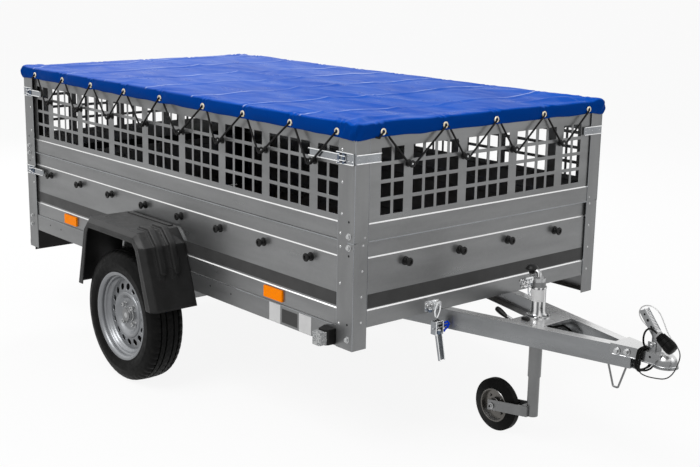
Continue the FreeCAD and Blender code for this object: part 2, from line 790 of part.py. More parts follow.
bracket_solid = prism("tip_bracket_plate", "X", "axle_x + tip_pivot_x - tip_bracket_half",
                      "2 * tip_bracket_half",
                      [("tip_bracket_y", "frame_top - side_rail_gauge"),
                       ("tip_bracket_y", "frame_top - side_rail_tall"),
                       ("tip_bracket_y + tip_bracket_gauge", "frame_top - side_rail_tall"),
                       ("tip_bracket_y + tip_bracket_gauge",
                        "frame_top - side_rail_gauge - tip_bracket_gauge"),
                       (side_face + " - side_rail_gauge",
                        "frame_top - side_rail_gauge - tip_bracket_gauge"),
                       (side_face + " - side_rail_gauge", "frame_top - side_rail_gauge")])
bracket_bore = cylinder("tip_bracket_bore", "Y", pin_centre, "tip_bracket_y - tip_bracket_gauge",
                        "3 * tip_bracket_gauge", "tip_pin_radius + running_gap")
bracket_left = cut("tip_bracket_left", bracket_solid, bracket_bore)
group("tip_brackets", [bracket_left, mirror("tip_bracket_right", bracket_left)])

plate = new_body("drawbar_plate")
flange_y = rail_across % "rail_flange"
add_pad(plate, "plate_pad", "Z", "frame_top - plate_gauge", "plate_gauge",
        [("axle_x + plate_rear_x", "%s - %s" % (rail_edge("plate_rear_x"), flange_y)),
         ("axle_x + plate_front_x", "%s - %s" % (rail_edge("plate_front_x"), flange_y)),
         ("axle_x + plate_front_x", "-(%s - %s)" % (rail_edge("plate_front_x"), flange_y)),
         ("axle_x + plate_rear_x", "-(%s - %s)" % (rail_edge("plate_rear_x"), flange_y))])
add_cut(plate, "plate_hole", "Z", "frame_top",
        circles=[("axle_x + jockey_x", "0", "jockey_outer + slide_gap")])

# Axle beam, trailing arms and stub axles
beam_foot = "frame_top - rail_tall - beam_spacer - beam_side"
beam_low = "axle_x + beam_ahead - beam_side / 2"
beam_bar = prism("axle_beam_bar", "Y", "-beam_half", "2 * beam_half",
      rectangle(beam_low, beam_low + " + beam_side", beam_foot, beam_foot + " + beam_side"))
pad_middle = rail_edge("beam_ahead")
spacer_left = prism("axle_spacer_left", "Z", beam_foot + " + beam_side", "beam_spacer",
                    rectangle(beam_low, beam_low + " + beam_side",
                              "%s - rail_flange" % pad_middle, pad_middle + " + rail_flange / 2"))
fuse("axle_beam", [beam_bar, spacer_left, mirror("axle_spacer_right", spacer_left)])


def trailing_arm():
    """The swinging arm with its stub axle, between the beam's end and the wheel's centre."""
    body = new_body("arm_left")
    beam_middle = beam_foot + " + beam_side / 2"
    start = "beam_half"
    add_disc(body, "arm_beam_boss", "Y", start, "arm_thick", "axle_x + beam_ahead", beam_middle, "arm_boss")
    add_disc(body, "arm_wheel_boss", "Y", start, "arm_thick", "axle_x", "wheel_radius", "arm_boss")
    rise = "(%s - wheel_radius)" % beam_middle
    long = "sqrt(beam_ahead ^ 2 + %s ^ 2)" % rise
    across = "(arm_boss * %s / %s)" % (rise, long)
    up = "(arm_boss * beam_ahead / %s)" % long
    add_pad(body, "arm_web", "Y", start, "arm_thick",
            [("axle_x - " + across, "wheel_radius + " + up),
             ("axle_x + " + across, "wheel_radius - " + up),
             ("axle_x + beam_ahead + " + across, beam_middle + " - " + up),
             ("axle_x + beam_ahead - " + across, beam_middle + " + " + up)])
    add_disc(body, "arm_stub", "Y", "beam_half + arm_thick",
             "track_half + disc_offset - beam_half - arm_thick - arm_boss",
             "axle_x", "wheel_radius", "stub_radius")
    return body


arm_left = trailing_arm()
group("suspension_arms", [arm_left, mirror("arm_right", arm_left)])

# Road wheels
wheel_z = "wheel_radius"
disc_face = "track_half + disc_offset"


def road_wheel():
    tyre = turned("tyre_left", [("bead_radius", "track_half - bead_half"),
                                ("wheel_radius - tyre_shoulder", "track_half - tyre_width / 2"),
                                ("wheel_radius", "track_half - tread_half"),
                                ("wheel_radius", "track_half + tread_half"),
                                ("wheel_radius - tyre_shoulder", "track_half + tyre_width / 2"),
                                ("bead_radius", "track_half + bead_half")], "axle_x", wheel_z)
    rim = turned("rim_left", [("rim_flange_radius", "track_half - rim_half"),
                              ("bead_radius", "track_half - bead_half"),
                              ("bead_radius", "track_half - bead_half / 2"),
                              ("well_radius", "track_half - bead_half / 3"),
                              ("well_radius", "track_half + bead_half / 3"),
                              ("bead_radius", "track_half + bead_half / 2"),
                              ("bead_radius", "track_half + bead_half"),
                              ("rim_flange_radius", "track_half + rim_half"),
                              ("rim_flange_radius - rim_gauge", "track_half + rim_half + rim_gauge"),
                              ("bead_radius - rim_gauge", "track_half + bead_half"),
                              ("bead_radius - rim_gauge", "track_half + bead_half / 2 + rim_gauge"),
                              ("well_radius - rim_gauge", "track_half + bead_half / 3 + rim_gauge"),
                              ("disc_ring_radius", disc_face + " - rim_gauge"),
                              ("disc_centre_radius + rim_gauge", disc_face + " - disc_dish + rim_gauge"),
                              ("hub_cap_radius", disc_face + " - disc_dish + rim_gauge"),
                              ("hub_cap_radius", disc_face + " - disc_dish"),
                              ("disc_centre_radius", disc_face + " - disc_dish"),
                              ("disc_ring_radius", disc_face + " - 2 * rim_gauge"),
                              ("well_radius - rim_gauge", "track_half + bead_half / 3"),
                              ("well_radius - rim_gauge", "track_half - bead_half / 3 - rim_gauge"),
                              ("bead_radius - rim_gauge", "track_half - bead_half / 2 - rim_gauge"),
                              ("bead_radius - rim_gauge", "track_half - bead_half"),
                              ("rim_flange_radius - rim_gauge", "track_half - rim_half - rim_gauge")],
                 "axle_x", wheel_z)
    add_ring_of_holes(rim, "vent", "track_half", ("axle_x", wheel_z), "vent_count", "vent_circle",
                      "vent_radius")
    hub_face = disc_face + " - disc_dish"
    hub = turned("hub_left", [("0", hub_face), ("0", hub_face + " + hub_cap_tall"),
                              ("hub_cap_radius - rim_gauge", hub_face + " + hub_cap_tall"),
                              ("hub_cap_radius - rim_gauge", hub_face),
                              ("disc_centre_radius", hub_face),
                              ("disc_centre_radius", hub_face + " - 3 * rim_gauge"),
                              ("hub_radius", hub_face + " - 3 * rim_gauge"),
                              ("hub_radius", "beam_half + arm_thick + arm_gap"),
                              ("stub_radius + running_gap", "beam_half + arm_thick + arm_gap"),
                              ("stub_radius + running_gap", disc_face + " - arm_boss + arm_gap"),
                              ("0", disc_face + " - arm_boss + arm_gap")], "axle_x", wheel_z)
    for piece in (tyre, rim, hub):
        mirror(piece.Label.replace("left", "right"), piece)


road_wheel()

# Jockey wheel: outer tube with its crank, swivelling leg with its fork, and the small wheel
jockey_centre = ("axle_x + jockey_x", "0")


def tube(name, foot, top, radius, wall):
    outer = cylinder(name + "_outer", "Z", jockey_centre, foot, "%s - %s" % (top, foot), radius)
    inner = cylinder(name + "_bore", "Z", jockey_centre, "%s - %s" % (foot, wall),
                     "%s - %s + 2 * %s" % (top, foot, wall), "%s - %s" % (radius, wall))
    return cut(name, outer, inner)


tube("jockey_tube", "jockey_tube_foot", "jockey_tube_top", "jockey_outer", "jockey_wall")
tube("jockey_leg", "jockey_leg_foot", "jockey_leg_top", "jockey_inner", "jockey_wall")

knob_centre = ("axle_x + jockey_x - crank_reach", "0")
crank_pieces = [
    cylinder("crank_cap", "Z", jockey_centre, "jockey_tube_top", "crank_cap_tall",
             "jockey_outer - jockey_wall"),
    cylinder("crank_post", "Z", jockey_centre, "jockey_tube_top", "crank_cap_tall + 2 * crank_arm_thick",
             "jockey_pin_radius"),
    prism("crank_arm", "Z", "jockey_tube_top + crank_cap_tall", "crank_arm_thick",
          rectangle("axle_x + jockey_x - crank_reach - crank_arm_half",
                    "axle_x + jockey_x + crank_arm_half",
                    "-crank_arm_half", "crank_arm_half")),
    cylinder("crank_stem", "Z", knob_centre, "jockey_tube_top + crank_cap_tall",
             "knob_foot - jockey_tube_top - crank_cap_tall + knob_neck", "jockey_pin_radius")]
fuse("jockey_crank", crank_pieces)
knob_neck = cylinder("knob_neck_solid", "Z", knob_centre, "knob_foot", "knob_neck", "crank_arm_half")
knob_head = cylinder("knob_head", "Z", knob_centre, "knob_foot + knob_neck - seat_gap", "knob_tall",
                     "knob_radius")
knob_bore = cylinder("knob_bore", "Z", knob_centre, "knob_foot - knob_neck", "2 * knob_neck + seat_gap",
                     "jockey_pin_radius + running_gap")
cut("crank_knob", fuse("knob_solid", [knob_neck, knob_head]), knob_bore)

wheel_hub_x = "axle_x + jockey_x - jockey_trail"


def fork_arm(name, start):
    """One flat arm, which drops a little towards the wheel's axle."""
    return prism(name, "Y", start, "fork_gauge",
                 [(wheel_hub_x + " - fork_tall / 2", "jockey_wheel_radius - fork_tall / 2"),
                  ("axle_x + jockey_x", "jockey_leg_foot"),
                  ("axle_x + jockey_x", "jockey_leg_foot + fork_tall"),
                  (wheel_hub_x + " - fork_tall / 2", "jockey_wheel_radius + fork_tall / 2")])


fork_bridge = prism("fork_bridge", "Y", "-fork_half", "2 * fork_half",
                    rectangle("axle_x + jockey_x - jockey_inner - fork_gauge", "axle_x + jockey_x",
                              "jockey_leg_foot", "jockey_leg_foot + fork_tall"))
fork_pin = cylinder("fork_pin", "Y", (wheel_hub_x, "jockey_wheel_radius"), "-(fork_half + 2 * fork_gauge)",
                    "2 * fork_half + 4 * fork_gauge", "jockey_pin_radius")
fork_whole = fuse("fork_whole", [fork_arm("fork_arm_left", "fork_half"),
                                 fork_arm("fork_arm_right", "-(fork_half + fork_gauge)"), fork_bridge,
                                 fork_pin])
cut("jockey_fork", fork_whole, cylinder("fork_tube_space", "Z", jockey_centre, "0", "jockey_tube_top",
                                        "jockey_inner + running_gap"))

turned("jockey_tyre", [("jockey_rim_radius + running_gap", "-jockey_wheel_wide / 2"),
                       ("jockey_wheel_radius", "-jockey_wheel_wide / 2 + jockey_shoulder"),
                       ("jockey_wheel_radius", "jockey_wheel_wide / 2 - jockey_shoulder"),
                       ("jockey_rim_radius + running_gap", "jockey_wheel_wide / 2")],
       wheel_hub_x, "jockey_wheel_radius")
turned("jockey_rim", [("jockey_pin_radius + running_gap", "-jockey_wheel_wide / 2"),
                      ("jockey_hub_radius", "-jockey_wheel_wide / 2"),
                      ("jockey_hub_radius", "-jockey_web_half"),
                      ("jockey_rim_radius - 2 * jockey_rim_gauge", "-jockey_web_half"),
                      ("jockey_rim_radius - jockey_rim_gauge", "-jockey_wheel_wide / 2"),
                      ("jockey_rim_radius", "-jockey_wheel_wide / 2"),
                      ("jockey_rim_radius", "jockey_wheel_wide / 2"),
                      ("jockey_rim_radius - jockey_rim_gauge", "jockey_wheel_wide / 2"),
                      ("jockey_rim_radius - 2 * jockey_rim_gauge", "jockey_web_half"),
                      ("jockey_hub_radius", "jockey_web_half"),
                      ("jockey_hub_radius", "jockey_wheel_wide / 2"),
                      ("jockey_pin_radius + running_gap", "jockey_wheel_wide / 2")],
       wheel_hub_x, "jockey_wheel_radius")

# Clamp: split ring above and below the plate, a column behind the tube, and its lever
clamp_back = "axle_x + jockey_x - jockey_outer - slide_gap - clamp_gauge"
clamp_pieces = [
    cylinder("clamp_upper", "Z", jockey_centre, "frame_top", "clamp_tall",
             "jockey_outer + slide_gap + clamp_gauge"),
    cylinder("clamp_lower", "Z", jockey_centre, "frame_top - plate_gauge - clamp_tall", "clamp_tall",
             "jockey_outer + slide_gap + clamp_gauge"),
    prism("clamp_column", "Z", "frame_top", "column_tall",
          rectangle(clamp_back + " - clamp_gauge", clamp_back + " + clamp_gauge", "-column_half",
                    "column_half")),
    prism("clamp_ear", "Z", "frame_top - plate_gauge - clamp_tall", "clamp_tall",
          rectangle(clamp_back + " - column_half", "axle_x + jockey_x", "-column_half", "column_half"))]
clamp_bore = cylinder("clamp_bore", "Z", jockey_centre, "frame_top - 2 * clamp_tall",
                      "column_tall + 2 * clamp_tall",
                      "jockey_outer + slide_gap")
cut("jockey_clamp", fuse("clamp_whole", clamp_pieces), clamp_bore)

lever_y = "-lever_out"
lever_x = clamp_back + " - column_half / 2"
lever_z = "frame_top - plate_gauge - clamp_tall / 2"
lever_bolt = cylinder("lever_bolt", "Y", (lever_x, lever_z), lever_y, "lever_out - column_half",
                      "lever_radius")
lever_shaft = cylinder("lever_shaft", "X", (lever_y, lever_z), lever_x, "lever_run", "lever_radius")
lever_grip = cylinder("lever_grip", "X", (lever_y, lever_z), lever_x, "lever_grip_long", "2 * lever_radius")
for bar, start in ((lever_shaft, "0"), (lever_grip, "lever_run")):
    bar.Placement.Rotation = FreeCAD.Rotation(FreeCAD.Vector(0, 1, 0), -90)
    bind(bar, "Placement.Rotation.Angle", "-90 + lever_rise")
    bind(bar, "Placement.Base.x", "%s - (%s) * cos(lever_rise * 1 deg)" % (lever_x, start))
    bind(bar, "Placement.Base.z", "%s + (%s) * sin(lever_rise * 1 deg)" % (lever_z, start))
lever_tip = prism("lever_tip", "Y", "-(lever_out + column_half / 2)", "column_half",
                  rectangle("axle_x + jockey_x - clamp_gauge", "axle_x + jockey_x + jockey_outer",
                            "frame_top + seat_gap", "frame_top + 2 * lever_radius"))
fuse("clamp_lever", [lever_shaft, lever_bolt])
group("lever_grips", [lever_grip, lever_tip])


# Coupling: pressed housing round the ball, its neck over the rails and the release handle
def coupling_neck():
    body = new_body("coupling_neck_body")
    stations = [("coupling_rear_x", rail_edge("coupling_rear_x") + " + coupling_gauge + seat_gap"),
                ("coupling_bend_x", "coupling_neck_half"), ("ball_x", "coupling_neck_half")]
    sketches = []
    for number, (station, half) in enumerate(stations):
        sketch = sketch_across(body, "coupling_section_%d" % number, "X", "axle_x + " + station)
        inside = "%s - coupling_gauge" % half
        foot = "coupling_side_foot"
        draw_outline(sketch, [("-(%s)" % half, foot), ("-(%s)" % inside, foot),
                              ("-(%s)" % inside, "frame_top + seat_gap"), (inside, "frame_top + seat_gap"),
                              (inside, foot), (half, foot), (half, "coupling_top"),
                              ("-(%s)" % half, "coupling_top")])
        sketches.append(sketch)
    loft = body.newObject("PartDesign::AdditiveLoft", "coupling_neck")
    loft.Profile = sketches[0]
    loft.Sections = sketches[1:]
    loft.Ruled = True
    return body


def dome(name, radius, height):
    """The upper half of a sphere above the ball's place."""
    solid = document.addObject("Part::Sphere", name)
    solid.Angle1 = 0
    bind(solid, "Radius", radius)
    bind(solid, "Placement.Base.x", "axle_x + ball_x")
    bind(solid, "Placement.Base.z", height)
    return solid


ball_centre = ("axle_x + ball_x", "0")
head_wall = cylinder("head_wall", "Z", ball_centre, "head_foot", "head_top - head_radius - head_foot",
                     "head_radius")
head_lip = cylinder("head_lip", "Z", ball_centre, "head_foot", "coupling_gauge",
                    "head_radius + coupling_gauge")
coupling_whole = fuse("coupling_whole", [coupling_neck(), head_wall, head_lip,
                                         dome("head_dome", "head_radius", "head_top - head_radius")])
socket_bore = cylinder("socket_bore", "Z", ball_centre, "head_foot - coupling_gauge",
                       "ball_centre_z - head_foot + coupling_gauge", "ball_socket")
cut("coupling_housing", coupling_whole, fuse("socket_space", [socket_bore,
                                                              dome("socket_dome", "ball_socket",
                                                                   "ball_centre_z")]))


def handle_outline(inset):
    """Side view of the handle. An inset outline is open at the lower side."""
    front = "axle_x + ball_x - handle_back - (%s)" % inset
    rear = "axle_x + ball_x - handle_back - handle_deep"
    high = "coupling_top + seat_gap + handle_stem"
    drop = "0" if inset == "0" else "handle_deep"
    return [(rear + " - " + drop, "coupling_top + seat_gap - " + drop),
            (front, "coupling_top + seat_gap - " + drop),
            (front, high), (front + " - handle_reach", high + " + handle_rise"),
            (rear + " - handle_reach - %s / 2" % drop,
             high + " + handle_rise - handle_deep / 2 - %s / 2" % drop),
            (rear + " - %s / 2" % drop, high + " - handle_deep / 2 - %s / 2" % drop)]


handle_solid = prism("handle_solid", "Y", "-handle_half", "2 * handle_half", handle_outline("0"))
handle_space = prism("handle_space", "Y", "-(handle_half - handle_gauge)",
                     "2 * (handle_half - handle_gauge)",
                     handle_outline("handle_gauge"))
cut("coupling_handle", handle_solid, handle_space)

# Folding rest of bent wire under the rails' meeting point


def bent_wire(name, points, diameter, radius):
    """A round wire through points, with an arc at each corner. Its length and arcs are printed."""
    vectors = [FreeCAD.Vector(*point) for point in points]
    edges = []
    bends = []
    start = vectors[0]
    for before, corner, after in zip(vectors, vectors[1:], vectors[2:]):
        back = (before - corner).normalize()
        ahead = (after - corner).normalize()
        half = back.getAngle(ahead) / 2
        bend = radius(before, corner, after)
        bends.append(bend)
        reach = bend / math.tan(half)
        first = corner + back * reach
        last = corner + ahead * reach
        middle_line = (back + ahead).normalize()
        middle = corner + middle_line * (bend / math.sin(half) - bend)
        edges.append(Part.LineSegment(start, first).toShape())
        edges.append(Part.Arc(first, middle, last).toShape())
        start = last
    edges.append(Part.LineSegment(start, vectors[-1]).toShape())
    path = Part.Wire(edges)
    run = vectors[1] - vectors[0]
    profile = Part.Wire(Part.makeCircle(diameter / 2, vectors[0], run))
    thing = document.addObject("Part::Feature", name)
    thing.Label = name
    thing.Shape = path.makePipeShell([profile], True, False)
    thing.Placement = FreeCAD.Placement()
    radii = " ".join("%.0f" % bend for bend in bends)
    print("%s: length %.0f mm, arc radii %s mm" % (name, path.Length, radii))


def even_bend(size_value):
    return lambda before, corner, after: size_value


def cord_bend(before, corner, after):
    """A cord's arcs take up most of the shorter run on either side of each corner."""
    turn = math.pi - (before - corner).getAngle(after - corner)
    shorter = min((before - corner).Length, (after - corner).Length)
    return cord_share * shorter / math.tan(turn / 2)


def from_axle(points):
    return [(sheet.axle_x + x, y, z) for x, y, z in points]


document.recompute()
rest_middle = sheet.rest_x_mid
rest_top = sheet.frame_top - sheet.rail_tall - sheet.rest_wire / 2 - sheet.seat_gap
rest_half = sheet.rest_half
wire_route = [(rest_middle - 2 * rest_half, 0, rest_top), (rest_middle - rest_half, 0, rest_top),
              (rest_middle - rest_half / 4, 0, rest_top - sheet.rest_drop),
              (rest_middle + rest_half / 4, 0, rest_top - sheet.rest_drop),
              (rest_middle + rest_half, 0, rest_top), (rest_middle + 2 * rest_half, 0, rest_top)]
bent_wire("wire_rest", from_axle(wire_route), sheet.rest_wire, even_bend(sheet.rest_wire))

# Lead: leaves the coupling's neck, winds round it and ends in its plug
cord_share = 0.45
lead_route = [(1974, -37, 496.1), (1974, -36, 524), (1976, -33, 549), (1988.5, -31, 564.5), (2008.5, -30, 568),
              (2026.8, -30, 557.1)]
bent_wire("trailer_lead", from_axle(lead_route), sheet.lead_thick, cord_bend)


def coil_outline(grow):
    half = "(coil_half + %s)" % grow
    low = "(coil_foot - %s)" % grow
    high = "(coupling_top + seat_gap + %s)" % grow
    slope = "coil_slope"
    return [("-" + half, low + " + " + slope), ("-%s + %s" % (half, slope), low),
            ("%s - %s" % (half, slope), low),
            (half, low + " + " + slope), (half, high), ("-" + half, high)]


coil_block = prism("coil_block", "X", "axle_x + coil_x", "coil_turns * lead_thick",
                   coil_outline("lead_thick"))
coil_space = prism("coil_space", "X", "axle_x + coil_x - lead_thick", "(coil_turns + 2) * lead_thick",
                   coil_outline("0"))
cut("lead_coil", coil_block, coil_space)

plug_angle = 90 + sheet.plug_dip


def plug_length(name, start, run, radius):
    """One round length of the plug, measured along its dipping axis."""
    round_bar = document.addObject("Part::Cylinder", name)
    bind(round_bar, "Radius", radius)
    bind(round_bar, "Height", run)
    round_bar.Placement.Rotation = FreeCAD.Rotation(FreeCAD.Vector(0, 1, 0), plug_angle)
    bind(round_bar, "Placement.Rotation.Angle", "90 + plug_dip")
    bind(round_bar, "Placement.Base.x", "axle_x + plug_x + (%s) * cos(plug_dip * 1 deg)" % start)
    bind(round_bar, "Placement.Base.y", "-plug_out")
    bind(round_bar, "Placement.Base.z", "plug_z - (%s) * sin(plug_dip * 1 deg)" % start)
    return round_bar


fuse("trailer_plug", [plug_length("plug_collar", "0", "plug_collar_long + seat_gap", "plug_collar_radius"),
                      plug_length("plug_grip", "plug_collar_long", "plug_grip_long",
                                  "plug_radius - lead_thick / 4"),
                      plug_length("plug_nose", "plug_collar_long + plug_grip_long - seat_gap",
                                  "plug_nose_long",
                                  "plug_radius")])

# Steel safety cable: a loop over the handle, then down round the head and back under the neck
cable_route = [(1992, 18, 489.5), (1990, 18, 522), (1966, 18, 550), (1932, 18, 566), (1913, 18, 594),
               (1928, 18, 621),
               (1966, 18, 630), (1998, 18, 612), (2018, 17, 580), (2040, 12, 548), (2074, 4, 530),
               (2105, -8, 504),
               (2106, -24, 470), (2098, -36, 440), (2076, -43, 412), (2036, -42, 404), (1996, -32, 402),
               (1960, -18, 404), (1941, -10, 434), (1940, -8, 483.5)]
bent_wire("safety_cable", from_axle(cable_route), sheet.cable_thick, cord_bend)

# Latches that hold the box down on the drawbar, one at each rail
latch_x = front_face


def latch_side(side):
    tag = "left" if side > 0 else "right"
    middle = "latch_out"
    low = middle + " - latch_half"
    wide = "2 * latch_half"
    plate_back = latch_x + " + seat_gap"
    catch_pieces = [
        prism("catch_plate_" + tag, "Y", low, wide,
              rectangle(plate_back, plate_back + " + latch_gauge", "catch_foot",
                        "catch_foot + catch_tall")),
        prism("catch_hook_" + tag, "Y", middle + " - latch_gauge", "2 * latch_gauge",
              rectangle(plate_back, plate_back + " + catch_deep", "catch_foot + catch_tall / 2",
                        "catch_foot + catch_tall")),
        cylinder("catch_pin_" + tag, "Y",
                 (plate_back + " + catch_deep - latch_gauge", "catch_foot + catch_tall - latch_gauge"),
                 low, wide, "latch_gauge")]
    for end, place in (("inner", low), ("outer", middle + " + latch_half - latch_gauge")):
        catch_pieces.append(prism("catch_link_%s_%s" % (end, tag), "Y", place, "latch_gauge",
                                  rectangle(plate_back + " + catch_deep - 2 * latch_gauge",
                                            plate_back + " + catch_deep",
                                            "latch_pivot_z + latch_boss + moving_gap",
                                            "catch_foot + catch_tall")))
    catch = fuse("catch_" + tag, catch_pieces)
    rail_side = "%s + post_gauge / 2" % rail_edge("box_front")
    base = prism("latch_base_" + tag, "Y", rail_side, "%s - (%s)" % (low, rail_side),
                 rectangle(plate_back, plate_back + " + catch_deep", "latch_pivot_z - latch_boss",
                           "latch_pivot_z + latch_boss"))
    lever_low = middle + " - latch_half + latch_gauge"
    lever_wide = "2 * latch_half - 2 * latch_gauge"
    lever = prism("latch_lever_%s_solid" % tag, "Y", lever_low, lever_wide,
                  [(plate_back + " + catch_deep - latch_boss", "latch_pivot_z + latch_boss"),
                   (plate_back + " + catch_deep - latch_boss", "latch_pivot_z - latch_boss"),
                   (plate_back + " + catch_deep", "latch_pivot_z - latch_lever_long"),
                   (plate_back + " + catch_deep + latch_boss", "latch_pivot_z - latch_lever_long"),
                   (plate_back + " + catch_deep + latch_boss / 2", "latch_pivot_z + latch_boss")])
    lever_space = prism("latch_lever_%s_space" % tag, "Y", lever_low + " + latch_gauge",
                        lever_wide + " - 2 * latch_gauge",
                        [(plate_back + " + catch_deep - 2 * latch_boss", "latch_pivot_z - latch_boss / 2"),
                         (plate_back + " + catch_deep - latch_gauge",
                          "latch_pivot_z - latch_lever_long - latch_boss"),
                         (plate_back + " + catch_deep + latch_boss - latch_gauge",
                          "latch_pivot_z - latch_lever_long - latch_boss"),
                         (plate_back + " + catch_deep + latch_boss / 2 - latch_gauge",
                          "latch_pivot_z - latch_boss / 2")])
    pin = cylinder("latch_pin_" + tag, "Y", (plate_back + " + catch_deep - latch_gauge", "latch_pivot_z"),
                   low + " - latch_half", "3 * latch_half", "latch_gauge")
    latch = fuse("latch_" + tag, [base, cut("latch_lever_" + tag, lever, lever_space), pin])
    return catch, latch


latches = [latch_side(1)]
group("latch_catches", [latches[0][0], mirror("catch_right", latches[0][0])])
group("tip_latches", [latches[0][1], mirror("latch_right", latches[0][1])])

# Corner toggles on the sides and the strikers they pull on
side_out = "half_width + seat_gap"


def toggle(name, corner, toward, foot, long):
    """A folded lever on the side of a post, with its rounded grip end towards the middle of the box."""
    near = "%s - (%s) * toggle_inset" % (corner, toward)
    far = "%s - (%s) * (%s)" % (corner, toward, long)
    waist = "%s - (%s) * toggle_plate" % (corner, toward)
    plate = prism(name + "_plate", "Y", side_out, "toggle_gauge",
                  rectangle(near, waist, foot, foot + " + toggle_tall"))
    bar = prism(name + "_bar", "Y", side_out, "toggle_deep",
                rectangle(waist, far, foot + " + toggle_tall / 8", foot + " + toggle_tall * 7 / 8"))
    drum = prism(name + "_drum", "Y", side_out, "toggle_deep",
                 rectangle("%s - (%s) * toggle_plate / 2" % (corner, toward), waist,
                           foot + " + toggle_tall / 8", foot + " + toggle_tall * 7 / 8"))
    return fuse(name, [plate, bar, drum])


toggle_specs = [("toggle_front", front, "1", "toggle_upper_foot", "toggle_front_long"),
                ("toggle_rear_upper", rear, "-1", "toggle_upper_foot", "toggle_rear_long"),
                ("toggle_rear_lower", rear, "-1", "toggle_lower_foot", "toggle_rear_long")]
toggles = [toggle(*spec) for spec in toggle_specs]


def striker(name, corner, toward, foot):
    """A folded strap across the end of the box, out from the corner."""
    inner = "half_width - striker_long"
    if toward > 0:
        low = corner + " + seat_gap"
    else:
        low = corner + " - seat_gap - striker_deep"
    return prism(name, "X", low, "striker_deep",
                 rectangle(inner, "half_width - toggle_inset", foot + " + toggle_tall / 8",
                           foot + " + toggle_tall * 7 / 8"))


front_striker = striker("striker_front", front, 1, "toggle_upper_foot")
rear_striker = striker("striker_rear", rear, -1, "toggle_upper_foot")
box_latches = toggles + [front_striker, rear_striker]
group("corner_toggles", box_latches + [mirror(item.Label + "_right", item) for item in box_latches])
gate_striker = striker("striker_gate", rear, -1, "toggle_lower_foot")
group("gate_strikers", [gate_striker, mirror("striker_gate_right", gate_striker)])

# Side lamps and reflectors
bracket_near = "half_width - post_gauge + seat_gap"
marker_bracket = prism("marker_bracket_left", "Y", bracket_near, "marker_bracket_out",
                       rectangle("axle_x + marker_x", "axle_x + marker_x + marker_long", "marker_foot",
                                 "marker_foot + marker_tall"))
lens = prism("marker_lens_left", "Y", bracket_near + " + marker_bracket_out + seat_gap", "marker_lens_out",
             rectangle("axle_x + marker_x + marker_long - marker_lens_long",
                       "axle_x + marker_x + marker_long",
                       "marker_foot + ledge", "marker_foot + marker_tall - ledge"))
group("marker_lamps", [lens, mirror("marker_lens_right", lens)])


def reflector(name, start):
    return prism(name, "Y", "half_width - post_gauge - ledge + seat_gap", "reflector_thick",
                 rectangle("axle_x + " + start, "axle_x + %s + reflector_long" % start, "reflector_foot",
                           "reflector_foot + reflector_tall"))


reflectors = [reflector("reflector_front", "reflector_front_x"),
              reflector("reflector_rear", "reflector_rear_x")]
group("side_reflectors", reflectors + [mirror(item.Label + "_right", item) for item in reflectors])

buffer_left = prism("buffer_left", "X", rear + " - seat_gap - buffer_deep", "buffer_deep",
                    rectangle("half_width - post_rear_face + ledge", "half_width - ledge",
                              "post_rear_foot + ledge",
                              "post_rear_foot + ledge + buffer_tall"))
group("plastic_brackets", [marker_bracket, mirror("marker_bracket_right", marker_bracket),
                           buffer_left, mirror("buffer_right", buffer_left)])

# Mudguards
guard_start = "half_width - post_gauge + guard_gap"


def guard_profile(inset):
    """The guard's side view, drawn in by the inset everywhere but at its foot."""
    return [("axle_x - guard_rear_reach + (%s)" % inset, "guard_foot"),
            ("axle_x - guard_rear_shoulder + (%s)" % inset, "guard_shoulder_z"),
            ("axle_x - guard_rear_crown + (%s) / 2" % inset, "guard_top - (%s)" % inset),
            ("axle_x + guard_front_crown - (%s) / 2" % inset, "guard_top - (%s)" % inset),
            ("axle_x + guard_front_shoulder - (%s)" % inset, "guard_shoulder_z"),
            ("axle_x + guard_front_reach - (%s)" % inset, "guard_foot")]


def guard_solid(name, start, straight, inset, slant):
    """A block whose outer edges slope in over the last stretch of its width."""
    body = new_body(name)
    add_pad(body, name + "_block", "Y", start, straight, guard_profile(inset))
    sections = []
    for tag, station, drawn in (("low", "%s + %s" % (start, straight), inset),
                                ("high", "%s + %s + %s" % (start, straight, slant),
                                 "%s + %s" % (inset, slant))):
        sketch = sketch_across(body, name + "_section_" + tag, "Y", station)
        draw_outline(sketch, guard_profile(drawn))
        sections.append(sketch)
    loft = body.newObject("PartDesign::AdditiveLoft", name + "_slope")
    loft.Profile = sections[0]
    loft.Sections = sections[1:]
    loft.Ruled = True
    return body


guard_outer = guard_solid("guard_outer", guard_start, "(guard_wide - guard_round)", "0", "guard_round")
guard_space = guard_solid("guard_space", guard_start + " - guard_wall", "(guard_wide - guard_round)",
                          "guard_wall",
                          "guard_round")
guard_shell = cut("guard_shell", guard_outer, guard_space)
guard_opening = prism("guard_opening", "Y", guard_start + " + guard_wide / 2", "guard_wide",
                      [("axle_x - guard_rear_reach + guard_skirt", "guard_foot - guard_skirt"),
                       ("axle_x - guard_rear_shoulder + guard_skirt", "guard_shoulder_z - guard_skirt / 3"),
                       ("axle_x - guard_rear_crown + guard_skirt / 3", "guard_top - guard_skirt"),
                       ("axle_x + guard_front_crown - guard_skirt / 3", "guard_top - guard_skirt"),
                       ("axle_x + guard_front_shoulder - guard_skirt",
                        "guard_shoulder_z - guard_skirt / 3"),
                       ("axle_x + guard_front_reach - guard_skirt", "guard_foot - guard_skirt")])
rib_low = "guard_shoulder_z - rib_drop"
rib_slope = "(guard_front_reach - guard_front_shoulder) * rib_drop / (guard_shoulder_z - guard_foot)"
